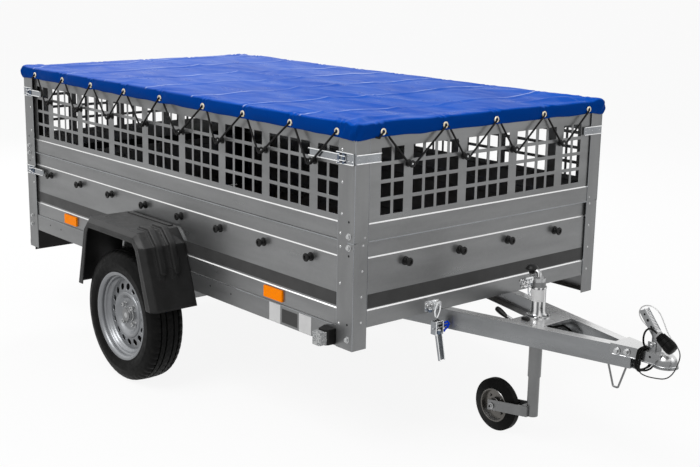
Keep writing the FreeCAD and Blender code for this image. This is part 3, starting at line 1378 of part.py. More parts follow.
ribs = [prism("guard_rib_%d" % number, "Y", "%s + %s" % (guard_start, place), "rib_wide",
              [("axle_x + guard_front_crown - rib_back", "guard_top - guard_wall / 2"),
               ("axle_x + guard_front_crown - rib_back", "guard_top + rib_proud"),
               ("axle_x + guard_front_crown + rib_proud / 2", "guard_top + rib_proud"),
               ("axle_x + guard_front_shoulder + rib_proud", "guard_shoulder_z + rib_proud / 2"),
               ("axle_x + guard_front_shoulder + %s + rib_proud" % rib_slope, rib_low),
               ("axle_x + guard_front_shoulder + %s - guard_wall / 2" % rib_slope, rib_low),
               ("axle_x + guard_front_shoulder - guard_wall / 2", "guard_shoulder_z"),
               ("axle_x + guard_front_crown - guard_wall / 2", "guard_top - guard_wall / 2")])
        for number, place in enumerate(("rib_first", "rib_first + rib_pitch"))]
mudguard_left = fuse("mudguard_left", [cut("guard_arched", guard_shell, guard_opening)] + ribs)
mirror("mudguard_right", mudguard_left)

# Cover: a flat sheet on the panels' rims, and under its edge a hem that hangs down all round
cover_side = "half_width + cover_gap"
cover_half = cover_side + " + cover_thick"
cover_rear = rear + " - cover_gap - cover_thick"
cover_front = front + " + cover_gap + cover_thick"
prism("cover", "Z", "panel_top + cover_gap", "cover_top_thick",
      rectangle(cover_rear, cover_front, "-(%s)" % cover_half, cover_half))


def cover_hem(name, outline):
    return prism(name, "Z", "panel_top + cover_gap + cover_top_thick - cover_drop",
                 "cover_drop - cover_top_thick - seat_gap", outline)


hem_end = cover_side + " - seat_gap"
side_hem = cover_hem("cover_hem_left", rectangle(cover_rear, cover_front, cover_side, cover_half))
group("cover_hem", [side_hem, mirror("cover_hem_right", side_hem),
                    cover_hem("cover_hem_front",
                              rectangle(front + " + cover_gap", cover_front, "-(%s)" % hem_end, hem_end)),
                    cover_hem("cover_hem_rear",
                              rectangle(cover_rear, rear + " - cover_gap", "-(%s)" % hem_end, hem_end))])

nodes = ["corner_posts", "side_board_left", "side_board_right", "front_board", "side_panel_left",
         "side_panel_right",
         "front_panel", "rear_panel", "side_rails", "floor_panel", "floor_bearers", "tailgate", "rear_sill",
         "sill_hinges", "gate_hinges", "gate_strikers", "lamp_board", "rear_lamps", "drawbar_rail_left",
         "drawbar_rail_right", "tip_pins", "tip_brackets", "drawbar_plate", "axle_beam", "suspension_arms",
         "tyre_left", "tyre_right", "rim_left", "rim_right", "hub_left", "hub_right", "jockey_tube",
         "jockey_leg",
         "jockey_crank", "crank_knob", "jockey_fork", "jockey_tyre", "jockey_rim", "jockey_clamp",
         "clamp_lever",
         "lever_grips", "coupling_housing", "coupling_handle", "wire_rest", "trailer_lead", "lead_coil",
         "trailer_plug", "safety_cable", "latch_catches", "tip_latches", "corner_toggles",
         "plastic_brackets",
         "marker_lamps", "side_reflectors", "mudguard_left", "mudguard_right", "cover", "cover_hem"]

document.recompute()
os.makedirs("parts", exist_ok=True)
for thing in document.Objects:
    if "Invalid" in thing.State or "Error" in thing.State:
        raise RuntimeError("%s failed: %s" % (thing.Label, thing.State))
for name in nodes:
    piece = document.getObjectsByLabel(name)[0]
    shape = piece.Shape
    if shape.isNull() or not shape.isValid() or not shape.Solids:
        raise RuntimeError("%s has no valid solid" % name)
    shape.exportStep("parts/%s.step" % name)
    box = shape.BoundBox
    print("%-20s %d solids, %9.0f cm3, x %6.0f %6.0f  y %5.0f %5.0f  z %5.0f %5.0f"
          % (name, len(shape.Solids), shape.Volume / 1000, box.XMin, box.XMax, box.YMin, box.YMax, box.ZMin,
             box.ZMax))
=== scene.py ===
"""Utility trailer with mesh extension panels and a laced cover, parked on its jockey wheel."""

import math

import bpy
import bmesh
from mathutils import Matrix, Vector, noise


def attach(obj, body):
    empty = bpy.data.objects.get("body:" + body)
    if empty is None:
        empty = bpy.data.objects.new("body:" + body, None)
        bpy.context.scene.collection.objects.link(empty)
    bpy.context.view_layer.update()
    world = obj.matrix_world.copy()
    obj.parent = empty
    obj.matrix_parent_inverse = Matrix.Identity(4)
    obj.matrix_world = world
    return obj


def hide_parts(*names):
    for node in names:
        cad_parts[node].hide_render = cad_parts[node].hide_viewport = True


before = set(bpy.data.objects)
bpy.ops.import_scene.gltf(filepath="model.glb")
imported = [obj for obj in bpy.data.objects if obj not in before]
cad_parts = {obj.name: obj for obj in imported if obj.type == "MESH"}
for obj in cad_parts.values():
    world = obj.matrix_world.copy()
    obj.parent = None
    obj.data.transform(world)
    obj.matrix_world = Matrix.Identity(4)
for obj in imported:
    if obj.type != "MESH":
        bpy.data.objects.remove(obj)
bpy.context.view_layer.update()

# Where the road wheels' axle stands. Places along the trailer are distances ahead of it, in metres.
AXLE = -0.4555
HALF_WIDTH = 0.645
BOX_FRONT = 1.234
BOX_REAR = -1.166
SIDES = (1, -1)
HANDS = ((1, "left"), (-1, "right"))


def at(x, y, z):
    """The point at a distance ahead of the axle, a place across and a height."""
    return Vector((AXLE + x, y, z))


def mm(text):
    """Points written in millimetres, with commas between them, as tuples in metres."""
    return [tuple(float(number) / 1000 for number in point.split()) for point in text.split(",")]


def ring_points(count, start=0.0):
    """Cosine and sine of angles spaced evenly round a circle."""
    angles = [start + math.tau * number / count for number in range(count)]
    return [(math.cos(angle), math.sin(angle)) for angle in angles]


def add_object(name, data):
    made = bpy.data.objects.new(name, data)
    bpy.context.scene.collection.objects.link(made)
    return made


# Camera
def aim_camera(place, azimuth, pitch, roll, lens):
    """A camera that looks to the azimuth and pitch given, turned about its own line by the roll."""
    ahead = Vector((-math.cos(pitch) * math.sin(azimuth), math.cos(pitch) * math.cos(azimuth), math.sin(pitch)))
    right = Vector((math.cos(azimuth), math.sin(azimuth), 0))
    up = right.cross(ahead)
    turned_right = right * math.cos(roll) + up * math.sin(roll)
    turned_up = up * math.cos(roll) - right * math.sin(roll)
    camera = add_object("camera", bpy.data.cameras.new("camera"))
    basis = Matrix((turned_right, turned_up, -ahead)).transposed()
    camera.matrix_world = Matrix.Translation(place) @ basis.to_4x4()
    camera.data.sensor_width = 36
    camera.data.lens = lens
    camera.data.clip_end = 400
    bpy.context.scene.camera = camera


aim_camera(Vector((3.73225, -3.22143, 1.73483)), 0.856930046, -0.227950547, 0.018037652, 62.125)


# Mesh helpers
class Shape:
    """Faces gathered for one mesh. Every point is in metres in the trailer's own frame."""

    def __init__(self):
        self.points = []
        self.faces = []

    def add(self, points, faces):
        first = len(self.points)
        self.points += [Vector(point) for point in points]
        self.faces += [tuple(first + i for i in face) for face in faces]

    def lathe(self, centre, axis, profile, steps=32, closed=False):
        """Turn a profile of (radius, distance along the axis) pairs about the axis."""
        along = Vector(axis).normalized()
        side = along.orthogonal().normalized()
        other = along.cross(side)
        points, faces, rings = [], [], []
        for radius, distance in profile:
            middle = Vector(centre) + along * distance
            circle = [math.tau * step / steps for step in range(steps if radius else 1)]
            rings.append([len(points) + step for step in range(len(circle))])
            points += [middle + (side * math.cos(angle) + other * math.sin(angle)) * radius for angle in circle]
        for low, high in list(zip(rings, rings[1:])) + ([(rings[-1], rings[0])] if closed else []):
            for step in range(steps):
                after = (step + 1) % steps
                face = dict.fromkeys((low[step % len(low)], low[after % len(low)], high[after % len(high)],
                                      high[step % len(high)]))
                if len(face) > 2:
                    faces.append(tuple(face))
        self.add(points, faces)

    def block(self, low, high):
        """A box between two corners."""
        (a, b, c), (d, e, f) = low, high
        points = [(x, y, z) for z in (c, f) for y in (b, e) for x in (a, d)]
        self.add(points, [(0, 2, 3, 1), (4, 5, 7, 6), (0, 1, 5, 4), (2, 6, 7, 3), (0, 4, 6, 2), (1, 3, 7, 5)])

    def plate(self, side, x, y, z):
        """A box between two distances ahead of the axle, two out to one side and two heights."""
        low, high = sorted((side * y[0], side * y[1]))
        self.block((AXLE + x[0], low, z[0]), (AXLE + x[1], high, z[1]))

    def extrude(self, corners, origin, across, up, depth):
        """A flat outline, given in the across and up directions from the origin, made solid along depth."""
        origin, across, up, depth = (Vector(v) for v in (origin, across, up, depth))
        base = [origin + across * u + up * v for u, v in corners]
        count = len(base)
        faces = [tuple(reversed(range(count))), tuple(range(count, 2 * count))]
        faces += [(i, (i + 1) % count, count + (i + 1) % count, count + i) for i in range(count)]
        self.add(base + [point + depth for point in base], faces)

    def tube(self, path, radius, sides=10, closed=False):
        """A round bar along a path."""
        path = [Vector(point) for point in path]
        count = len(path)
        normal = (path[1] - path[0]).orthogonal().normalized()
        points, faces = [], []
        for i, point in enumerate(path):
            before = path[i - 1] if closed or i else path[0]
            after = path[(i + 1) % count] if closed or i < count - 1 else path[-1]
            line = (after - before).normalized()
            normal = (normal - line * normal.dot(line)).normalized()
            other = line.cross(normal)
            for side in range(sides):
                angle = math.tau * side / sides
                points.append(point + (normal * math.cos(angle) + other * math.sin(angle)) * radius)
        for i in range(count if closed else count - 1):
            after = (i + 1) % count
            for side in range(sides):
                beside = (side + 1) % sides
                faces.append((i * sides + side, i * sides + beside, after * sides + beside, after * sides + side))
        if not closed:
            faces.append(tuple(reversed(range(sides))))
            faces.append(tuple((count - 1) * sides + side for side in range(sides)))
        self.add(points, faces)

    def make(self, name, finish, body, replaces=(), bevel=0.0, smooth=30):
        """A named object with outward faces, its finish and rounded edges, that rides on a body."""
        mesh = bpy.data.meshes.new(name)
        mesh.from_pydata([tuple(point) for point in self.points], [], self.faces)
        mesh.validate()
        shell = bmesh.new()
        shell.from_mesh(mesh)
        bmesh.ops.recalc_face_normals(shell, faces=shell.faces)
        shell.to_mesh(mesh)
        shell.free()
        mesh.materials.append(finish)
        piece = add_object(name, mesh)
        if bevel:
            round_over(piece, bevel)
        mesh.shade_smooth()
        mesh.set_sharp_from_angle(angle=math.radians(smooth))
        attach(piece, body)
        if replaces:
            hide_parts(*replaces)
        return piece


def round_over(piece, width, angle=35):
    """Round an object's sharp edges."""
    rounding = piece.modifiers.new("rounding", "BEVEL")
    rounding.width = width
    rounding.segments = 2
    rounding.limit_method = "ANGLE"
    rounding.angle_limit = math.radians(angle)
    rounding.harden_normals = False


# Materials
class Finish:
    """A procedural material. Each call adds nodes and returns an output to link from."""

    def __init__(self, name, roughness=0.5, metallic=0.0, **settings):
        self.material = bpy.data.materials.new(name)
        self.material.use_nodes = True
        self.tree = self.material.node_tree
        self.shader = self.tree.nodes["Principled BSDF"]
        for label, value in (("Roughness", roughness), ("Metallic", metallic), *settings.items()):
            self.shader.inputs[label.replace("_", " ")].default_value = value
        self.place = self.tree.nodes.new("ShaderNodeTexCoord").outputs["Object"]

    def feed(self, socket, value):
        """Link an output to a socket, or set the socket's own value."""
        if isinstance(value, bpy.types.NodeSocket):
            self.tree.links.new(value, socket)
        else:
            socket.default_value = value

    def node(self, kind, **inputs):
        made = self.tree.nodes.new(kind)
        for label, value in inputs.items():
            self.feed(made.inputs[label.replace("_", " ")], value)
        return made

    def stretched(self, scale):
        return self.node("ShaderNodeMapping", Vector=self.place, Scale=scale).outputs["Vector"]

    def noise(self, scale, detail=3.0, stretch=(1, 1, 1), distortion=0.0):
        return self.node("ShaderNodeTexNoise", Vector=self.stretched(stretch), Scale=scale, Detail=detail,
                         Roughness=0.55, Distortion=distortion).outputs["Fac"]

    def cells(self, scale, output="Color"):
        return self.node("ShaderNodeTexVoronoi", Vector=self.stretched((1, 1, 1)), Scale=scale).outputs[output]

    def parts(self, vector):
        return self.node("ShaderNodeSeparateXYZ", Vector=vector).outputs

    def normal(self):
        return self.tree.nodes.new("ShaderNodeNewGeometry").outputs["Normal"]

    def facing_up(self):
        """How far a surface leans upward, from 0 for a wall to 1 for a level top."""
        return self.parts(self.normal())["Z"]

    def facing_out(self):
        """How far a surface of the box faces away from its middle, level directions only."""
        flat = self.maths("MULTIPLY", self.place, (1, 1, 0), kind="ShaderNodeVectorMath", output="Vector")
        return self.maths("DOT_PRODUCT", flat, self.normal(), kind="ShaderNodeVectorMath")

    def spread(self, value, low, high, new_low=0.0, new_high=1.0):
        return self.node("ShaderNodeMapRange", Value=value, From_Min=low, From_Max=high, To_Min=new_low,
                         To_Max=new_high).outputs["Result"]

    def mix(self, share, first, second):
        made = self.tree.nodes.new("ShaderNodeMix")
        made.data_type = "RGBA"
        for number, value in ((0, share), (6, first), (7, second)):
            self.feed(made.inputs[number], value)
        return made.outputs[2]

    def maths(self, operation, *values, kind="ShaderNodeMath", output="Value"):
        made = self.tree.nodes.new(kind)
        made.operation = operation
        for socket, value in zip(made.inputs, values):
            self.feed(socket, value)
        return made.outputs[output]

    def link(self, value, label):
        self.tree.links.new(value, self.shader.inputs[label])

    def colour(self, share, first, second):
        self.link(self.mix(share, first, second), "Base Color")

    def rough(self, scale, detail, low, high, stretch=(1, 1, 1)):
        """Let the roughness wander between two values."""
        self.link(self.spread(self.noise(scale, detail, stretch), 0.3, 0.7, low, high), "Roughness")

    def bump(self, height, distance, strength=1.0):
        made = self.node("ShaderNodeBump", Height=height, Strength=strength, Distance=distance)
        if self.shader.inputs["Normal"].links:
            self.tree.links.new(self.shader.inputs["Normal"].links[0].from_socket, made.inputs["Normal"])
        self.link(made.outputs["Normal"], "Normal")


def grey(value, tint=(1.0, 1.0, 1.0)):
    return (value * tint[0], value * tint[1], value * tint[2], 1)


def zinc(name, light, dark, roughness, stretch, ledge_highlight, level=1.0, tint=(0.985, 1.0, 1.01)):
    """Galvanised sheet with soft streaks, faint flakes and fine grain; slopes that face the sky are painted paler as a
    painted highlight, and level tops get a painted tone of their own.
    """
    finish = Finish(name, roughness, 0.8)
    grain = finish.noise(420, 2)
    base = finish.mix(finish.spread(finish.noise(5, 4, stretch), 0.3, 0.7), grey(dark, tint), grey(light, tint))
    base = finish.mix(finish.spread(finish.cells(110), 0, 1, 0, 0.1), base, grey(light * 1.25))
    base = finish.mix(finish.spread(grain, 0.35, 0.65, 0, 0.12), base, grey(dark * 0.8))
    # Painted highlight: slopes that face up take the ledge colour, and level tops take that colour scaled by level.
    # With level below 1, the slope highlight stays on faces that look out of the box, so slopes inside it keep painted
    # shade, and level tops are painted darker.
    slope = finish.facing_up()
    outer = finish.spread(finish.facing_out(), 0.0, 0.12) if level < 1 else 1.0
    base = finish.mix(finish.maths("MULTIPLY", finish.spread(slope, 0.4, 0.62), outer), base, grey(ledge_highlight))
    finish.colour(finish.spread(slope, 0.93, 0.97), base, grey(level * ledge_highlight))
    finish.rough(9, 3, roughness - 0.05, roughness + 0.07, stretch)
    finish.bump(finish.noise(3.2, 2), 0.0016, 0.35)
    finish.bump(grain, 0.00012, 0.3)
    return finish.material


def plastic(name, light, dark, roughness, grain=900, bump=0.00012, top_paler=1.0, soft=0.0):
    """Moulded plastic with a fine leather-like grain and rubbed patches."""
    finish = Finish(name, roughness, IOR=1.28)
    base = finish.mix(finish.spread(finish.noise(14, 4), 0.35, 0.7), grey(dark), grey(light))
    # Painted light: faces that look up turn paler, by the given factor times the light tone.
    finish.colour(finish.spread(finish.facing_up(), 0.3, 0.95), base, grey(top_paler * light))
    finish.rough(20, 3, roughness - 0.06, roughness + 0.08)
    if soft:
        finish.link(finish.node("ShaderNodeBevel", Radius=soft).outputs["Normal"], "Normal")
    finish.bump(finish.noise(grain, 3), bump, 0.6)
    return finish.material


def chrome(name):
    """Bright plated tube with painted reflection streaks: upright dark and pale bands set by the way the surface faces.
    """
    finish = Finish(name, 0.16, 0.85)
    # Painted reflection: the colour swings between dark and pale with the surface's facing, and a noise sways the
    # bands.
    facing = finish.parts(finish.normal())
    turned = finish.maths("ADD", finish.maths("MULTIPLY", facing["Y"], 9.0),
                          finish.maths("MULTIPLY", facing["X"], 5.0))
    reflection_bands = finish.maths("ADD", turned, finish.maths("MULTIPLY", finish.noise(14, 3, (1, 1, 0.35)), 5.0))
    finish.colour(finish.spread(finish.maths("SINE", reflection_bands), -0.8, 0.9), grey(0.13, (0.97, 1, 1.03)), grey(0.72))
    finish.rough(120, 3, 0.12, 0.24)
    return finish.material


def silver(name, light, dark, roughness):
    """Sprayed silver paint with a fine metal flake and a patchy mottle; faces that look up are painted paler, as
    painted light from above.
    """
    finish = Finish(name, roughness, 0.6, Coat_Weight=0.2, Coat_Roughness=0.1)
    base = finish.mix(finish.spread(finish.noise(11, 5), 0.35, 0.7), grey(dark, (0.97, 1, 1.05)),
                      grey(light, (0.96, 1, 1.05)))
    base = finish.mix(finish.spread(finish.cells(2600), 0, 1, 0, 0.05), base, grey(light * 1.4))
    # Painted light: faces that look up turn paler than the rest.
    finish.colour(finish.spread(finish.facing_up(), 0.15, 0.75), base, grey(light * 1.6, (0.97, 1, 1.04)))
    finish.rough(9, 2, roughness - 0.03, roughness + 0.04)
    return finish.material


def brass(name):
    """Pale rolled brass, dulled by weather."""
    finish = Finish(name, 0.34, 0.55)
    finish.colour(finish.spread(finish.noise(60, 4), 0.35, 0.7), (0.62, 0.54, 0.38, 1), (0.86, 0.8, 0.66, 1))
    finish.rough(200, 3, 0.26, 0.44)
    return finish.material


def wire(name):
    """Bright wire rope in a clear sleeve above the coupling, near black below half a metre up."""
    finish = Finish(name, 0.28, 0.6)
    strands = finish.spread(finish.noise(500, 2), 0.3, 0.7)
    # Below half a metre up, under the coupling head, the rope is near black.
    upper_share = finish.spread(finish.parts(finish.place)["Z"], 0.5, 0.535)
    finish.colour(upper_share, grey(0.02), finish.mix(strands, grey(0.42), grey(0.66)))
    return finish.material


def rubber(name, light, dark, roughness):
    """Tyre rubber with a little dust in the low places."""
    finish = Finish(name, roughness, IOR=1.16)
    finish.colour(finish.spread(finish.noise(38, 5), 0.45, 0.75), grey(dark), grey(light, (1.03, 1, 0.96)))
    finish.rough(60, 3, roughness - 0.08, roughness + 0.08)
    finish.bump(finish.noise(700, 2), 0.00015, 0.5)
    return finish.material


def lens(name, colour, deep):
    """Moulded lens plastic with fine prisms inside."""
    finish = Finish(name, 0.24, IOR=1.09)
    prisms = finish.cells(260, "Distance")
    finish.colour(finish.spread(prisms, 0.0, 0.6), colour, deep)
    finish.bump(prisms, 0.0004, 0.5)
    return finish.material


# The cover's packing folds: their distance apart, and how far and how fast their lines sway
FOLD_PITCH = 0.333
SWAY = 0.01
SWAY_RATE = 2.3


def tarpaulin(name):
    """Coated cover fabric: a fine square weave under a blue coat, with pale lines on its packing folds that are partly
    chalky wear and partly painted highlight, patches of painted sheen, a painted reflection that pales it towards the
    rear, and painted shade on the hanging hem.
    """
    finish = Finish(name, 0.34, IOR=1.045)
    base = finish.mix(finish.spread(finish.noise(2.4, 4, (1, 1.6, 1)), 0.3, 0.75), (0.0006, 0.068, 0.44, 1),
                      (0.003, 0.1, 0.55, 1))
    # Painted sheen: pale patches streaked across the blue.
    painted_sheen = finish.noise(3.2, 4, (0.6, 2.6, 1), distortion=0.8)
    base = finish.mix(finish.spread(painted_sheen, 0.46, 0.74, 0, 0.3), base, (0.15, 0.26, 0.66, 1))
    # Painted reflection: paler towards the rear, a deeper blue towards the front.
    spot = finish.parts(finish.place)
    base = finish.mix(finish.spread(spot["X"], 0.4, -1.6, 0.02, 0.4), base, (0.19, 0.27, 0.68, 1))
    scaled = finish.maths("MULTIPLY", spot["Y"], SWAY_RATE)
    swayed = finish.maths("MULTIPLY", finish.maths("SINE", scaled), -SWAY)
    place = finish.node("ShaderNodeCombineXYZ", X=finish.maths("ADD", spot["X"], swayed))
    ridges = finish.node("ShaderNodeTexWave", Vector=place.outputs["Vector"], Scale=math.pi / 10 / FOLD_PITCH,
                         Distortion=0.0)
    ridge = finish.spread(ridges.outputs["Fac"], 0.997, 0.9996)
    # Pale lines along the packing folds, in patches: partly chalky wear, partly painted highlight.
    crease_wear_and_highlight = finish.spread(finish.noise(3.5, 4, (0.3, 1, 1)), 0.4, 0.58, 0, 0.8)
    base = finish.mix(finish.maths("MULTIPLY", ridge, crease_wear_and_highlight), base, (0.42, 0.5, 0.8, 1))
    # Painted shade: faces that hang down the sides take a darker blue than the top.
    finish.colour(finish.spread(finish.facing_up(), 0.4, 0.92), (0.0002, 0.036, 0.215, 1), base)
    finish.rough(6, 4, 0.24, 0.46, (1, 2.2, 1))
    for axis in ((1, 0.02, 0.02), (0.02, 1, 0.02)):
        threads = finish.node("ShaderNodeTexWave", Vector=finish.stretched(axis), Scale=180.0, Distortion=0.3)
        finish.bump(threads.outputs["Fac"], 0.00005, 0.3)
    finish.bump(finish.noise(20, 3), 0.0008, 0.25)
    return finish.material


def plywood(name):
    """Brown film-faced floor with a fine wire pattern."""
    finish = Finish(name, 0.42)
    finish.colour(finish.noise(9, 6, (0.5, 7, 1)), (0.02, 0.012, 0.008, 1), (0.06, 0.034, 0.02, 1))
    finish.bump(finish.cells(190, "Distance"), 0.0003, 0.4)
    return finish.material


# The sixth number of each zinc is the colour of its painted ledge highlight on faces that look up; the seventh, where
# given, scales the painted tone of level tops.
PANEL = zinc("zinc_panel", 0.24, 0.175, 0.32, (0.35, 0.35, 2.2), 0.9, 0.17)
POST = zinc("zinc_post", 0.23, 0.18, 0.36, (2.0, 2.0, 0.5), 0.5)
FRAME = zinc("zinc_frame", 0.225, 0.17, 0.34, (0.5, 2.0, 2.0), 0.42)
TUBE = zinc("zinc_tube", 0.205, 0.155, 0.34, (2.0, 2.0, 0.6), 0.4)
CAST = zinc("zinc_pressing", 0.4, 0.31, 0.24, (1, 1, 1), 0.58)
BRIGHT = zinc("zinc_bright", 0.48, 0.36, 0.2, (1, 1, 1), 0.6)
DRAWBAR = zinc("zinc_drawbar", 0.255, 0.185, 0.28, (0.4, 2.0, 3.0), 0.76, 1.0, (0.97, 1.0, 1.03))
NECK = zinc("zinc_neck", 0.27, 0.19, 0.22, (1, 1, 1), 0.68, 1.0, (0.98, 1.0, 1.02))
CHROME = chrome("bright_plate")
DULL = zinc("zinc_dull", 0.15, 0.085, 0.22, (1, 1, 1), 0.45, 1.0, (1.06, 1.0, 0.92))
# Zinc pale enough to stand for a highlight: painted highlight lines on folds and edges, and the latch rings drawn whole
# in it.
HIGHLIGHT_ZINC = zinc("zinc_highlight", 0.92, 0.8, 0.16, (1, 1, 1), 0.95)
TOGGLE = zinc("zinc_toggle", 0.34, 0.2, 0.14, (1, 1, 1), 0.95, 1.0, (0.95, 1.0, 1.06))
STEEL_BLUE = zinc("zinc_blue", 0.16, 0.07, 0.14, (1, 1, 1), 0.5, 1.0, (0.72, 0.95, 1.35))
BLACK = plastic("black_plastic", 0.01, 0.004, 0.34)
# The mudguards' tops are painted far paler than their fronts: painted light from above.
GUARD = plastic("guard_plastic", 0.017, 0.01, 0.33, 700, 0.00015, 4.6, 0.012)
GREY_PLASTIC = plastic("grey_plastic", 0.3, 0.24, 0.4)
TYRE = rubber("tyre_rubber", 0.006, 0.0025, 0.5)
SOFT_BLACK = rubber("soft_black", 0.007, 0.003, 0.42)
RIM = silver("rim_paint", 0.22, 0.17, 0.34)
AMBER = lens("amber_lens", (1.0, 0.3, 0.0, 1), (0.95, 0.22, 0.0, 1))
RED = lens("red_lens", (0.6, 0.012, 0.01, 1), (0.25, 0.0, 0.0, 1))
CLEAR = lens("clear_lens", (0.85, 0.86, 0.85, 1), (0.24, 0.245, 0.25, 1))
CLIP = lens("clip_plastic", (0.004, 0.07, 0.72, 1), (0.002, 0.04, 0.5, 1))
COVER = tarpaulin("cover_fabric")
FLOOR_BOARD = plywood("film_plywood")
# Near-black plastic that stands for the shade inside holes and vents: painted shade.
HOLE_SHADE = plastic("painted_hole_shade", 0.006, 0.004, 0.8)
BAND = plastic("band_film", 0.044, 0.036, 0.36, 500, 0.00003)
PAPER = plastic("label_paper", 0.6, 0.54, 0.45, 500, 0.00003)
EYELET = brass("eyelet_brass")
CABLE_STEEL = wire("cable_steel")
LACE_CORD = plastic("lace_cord", 0.004, 0.002, 0.6, 1500, 0.0003)

finishes = {
    POST: "corner_posts",
    PANEL: "side_board_left side_board_right front_board side_panel_left side_panel_right front_panel rear_panel "
           "tailgate",
    FRAME: "side_rails floor_bearers rear_sill tip_brackets axle_beam suspension_arms hub_left hub_right",
    DRAWBAR: "drawbar_rail_left drawbar_rail_right drawbar_plate",
    TUBE: "jockey_tube jockey_leg jockey_fork wire_rest",
    DULL: "jockey_rim",
    NECK: "coupling_housing coupling_handle",
    CAST: "latch_catches tip_latches corner_toggles gate_strikers clamp_lever",
    BRIGHT: "sill_hinges gate_hinges tip_pins jockey_crank safety_cable",
    BLACK: "lamp_board crank_knob lever_grips trailer_plug plastic_brackets",
    GUARD: "mudguard_left mudguard_right",
    TYRE: "tyre_left tyre_right jockey_tyre",
    SOFT_BLACK: "trailer_lead lead_coil",
    RIM: "rim_left rim_right",
    RED: "rear_lamps",
    CLEAR: "marker_lamps",
    AMBER: "side_reflectors",
    COVER: "cover",
    FLOOR_BOARD: "floor_panel",
}
for finish, names in finishes.items():
    for name in names.split():
        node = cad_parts[name]
        node.data.materials.clear()
        node.data.materials.append(finish)


for names, width in (("corner_posts side_board_left side_board_right front_board tailgate", 0.0009),
                     ("side_panel_left side_panel_right front_panel rear_panel", 0.0006),
                     ("side_rails drawbar_rail_left drawbar_rail_right drawbar_plate rear_sill", 0.001),
                     ("mudguard_left mudguard_right", 0.0022), ("coupling_handle jockey_fork", 0.001)):
    for name in names.split():
        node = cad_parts[name]
        node.modifiers.new("weld", "WELD").merge_threshold = 0.00002
        round_over(node, width, 28)


# Cords: the lead wound round the coupling's neck, and the thin steel cable
def spline(name, route, diameter, finish, body, replaces):
    """A smooth round cord whose control points are the route's."""
    curve = bpy.data.curves.new(name, "CURVE")
    curve.dimensions = "3D"
    line = curve.splines.new("NURBS")
    line.points.add(len(route) - 1)
    for point, (x, y, z) in zip(line.points, route):
        point.co = (AXLE + x, y, z, 1)
    line.order_u = 3
    line.use_endpoint_u = True
    curve.resolution_u = 6
    curve.bevel_depth = diameter / 2
    curve.bevel_resolution = 4
    curve.use_fill_caps = True
    curve.materials.append(finish)
    piece = add_object(name, curve)
    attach(piece, body)
    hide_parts(*replaces)
    return piece


LEAD_THICK = 0.0065
CABLE_THICK = 0.004


def coil_turns(start, pitch, turns):
    """Loops round the coupling's neck, 18 points a turn, starting under it."""
    corners = [(0.0, 0.4148), (0.018, 0.415), (0.031, 0.4178), (0.0405, 0.4285), (0.0422, 0.444), (0.0428, 0.459),
               (0.0428, 0.474), (0.042, 0.4865), (0.0335, 0.4942), (0.0, 0.4944)]
    half = corners[1:-1]
    ring = corners[:1] + half + corners[-1:] + [(-y, z) for y, z in reversed(half)]
    route = []
    total = len(ring) * turns
    for i in range(total):
        y, z = ring[i % len(ring)]
        lean = 0.17 * (z - 0.454)
        hang = 0.0045 * (i // len(ring) % 2) * max(0.0, (0.43 - z) / 0.0152)
        route.append((start + pitch * i / len(ring) + lean, y * (1 + 0.05 * (i // len(ring) % 2)), z - hang))
    return route


lead_route = coil_turns(1.955, 0.0075, 4)[9:64] + mm(
    "1988 -16 495, 1987 -30 498.5, 1983.5 -38.5 510, 1979 -38 526, 1977.5 -34.5 543, 1982.5 -31.5 559, "
    "1994.5 -30.3 568, 2008.5 -30 567, 2026.8 -30 557.1")
lead = spline("lead", lead_route, LEAD_THICK, SOFT_BLACK, "chassis", ("trailer_lead", "lead_coil"))
cable_route = mm(
    "1992 18 489.5, 1990 18 522, 1966 18 550, 1932 18 566, 1913 18 594, 1928 18 621, 1966 18 630, 1998 18 612, "
    "2018 17 580, 2040 12 548, 2074 4 530, 2105 -8 504, 2106 -24 470, 2098 -36 440, 2078 -44 420, 2038 -42 412, "
    "1996 -30 404, 1958 -18 404, 1941 -10 434, 1940 -8 483.5")
cable = spline("steel_cable", cable_route, CABLE_THICK, CABLE_STEEL, "chassis", ("safety_cable",))


# Seats: where a line meets the trailer's own surface
def seat(names, start, direction):
    """The nearest place on the named CAD nodes along a line."""
    start, direction = Vector(start), Vector(direction).normalized()
    found = []
    for name in names.split():
        hit, place, _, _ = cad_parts[name].ray_cast(start, direction)
        if hit:
            found.append(((place - start).length, place))
    if not found:
        raise ValueError("nothing of %s lies along %s from %s" % (names, tuple(direction), tuple(start)))
    return min(found, key=lambda item: item[0])[1]


def on_side(names, x, z, side, start=1.5):
    return seat(names, at(x, side * start, z), (0, -side, 0))


def on_front(names, y, z):
    return seat(names, (1.6, y, z), (-1, 0, 0))


def on_rear(names, y, z):
    return seat(names, (-2.5, y, z), (1, 0, 0))


def around_box(names, side_places, end_places, ends=(on_front, on_rear)):
    """Each place on both sides and on the ends named, with the direction that it faces."""
    found = [(on_side(names, x, z, side), Vector((0, side, 0))) for side in SIDES for x, z in side_places]
    for end in ends:
        facing = Vector((1 if end is on_front else -1, 0, 0))
        found += [(end(names, y, z), facing) for y, z in end_places]
    return found


# Small hardware
def add_profile(shape, place, outward, radius, depth, profile, steps):
    """Turn a profile of shares of a radius and a depth."""
    shape.lathe(place, outward, [(radius * share, depth * far) for share, far in profile], steps)


def add_spool(shape, place, outward, radius, depth):
    """A moulded button with a waist, which the cover's cord hooks round."""
    add_profile(shape, place, outward, radius, depth, mm(
        "0 0, 1000 0, 1020 60, 960 150, 620 220, 500 360, 480 560, 620 680, 900 740, 980 840, 920 940, 720 1000, "
        "460 1000, 420 880, 0 880"), 24)


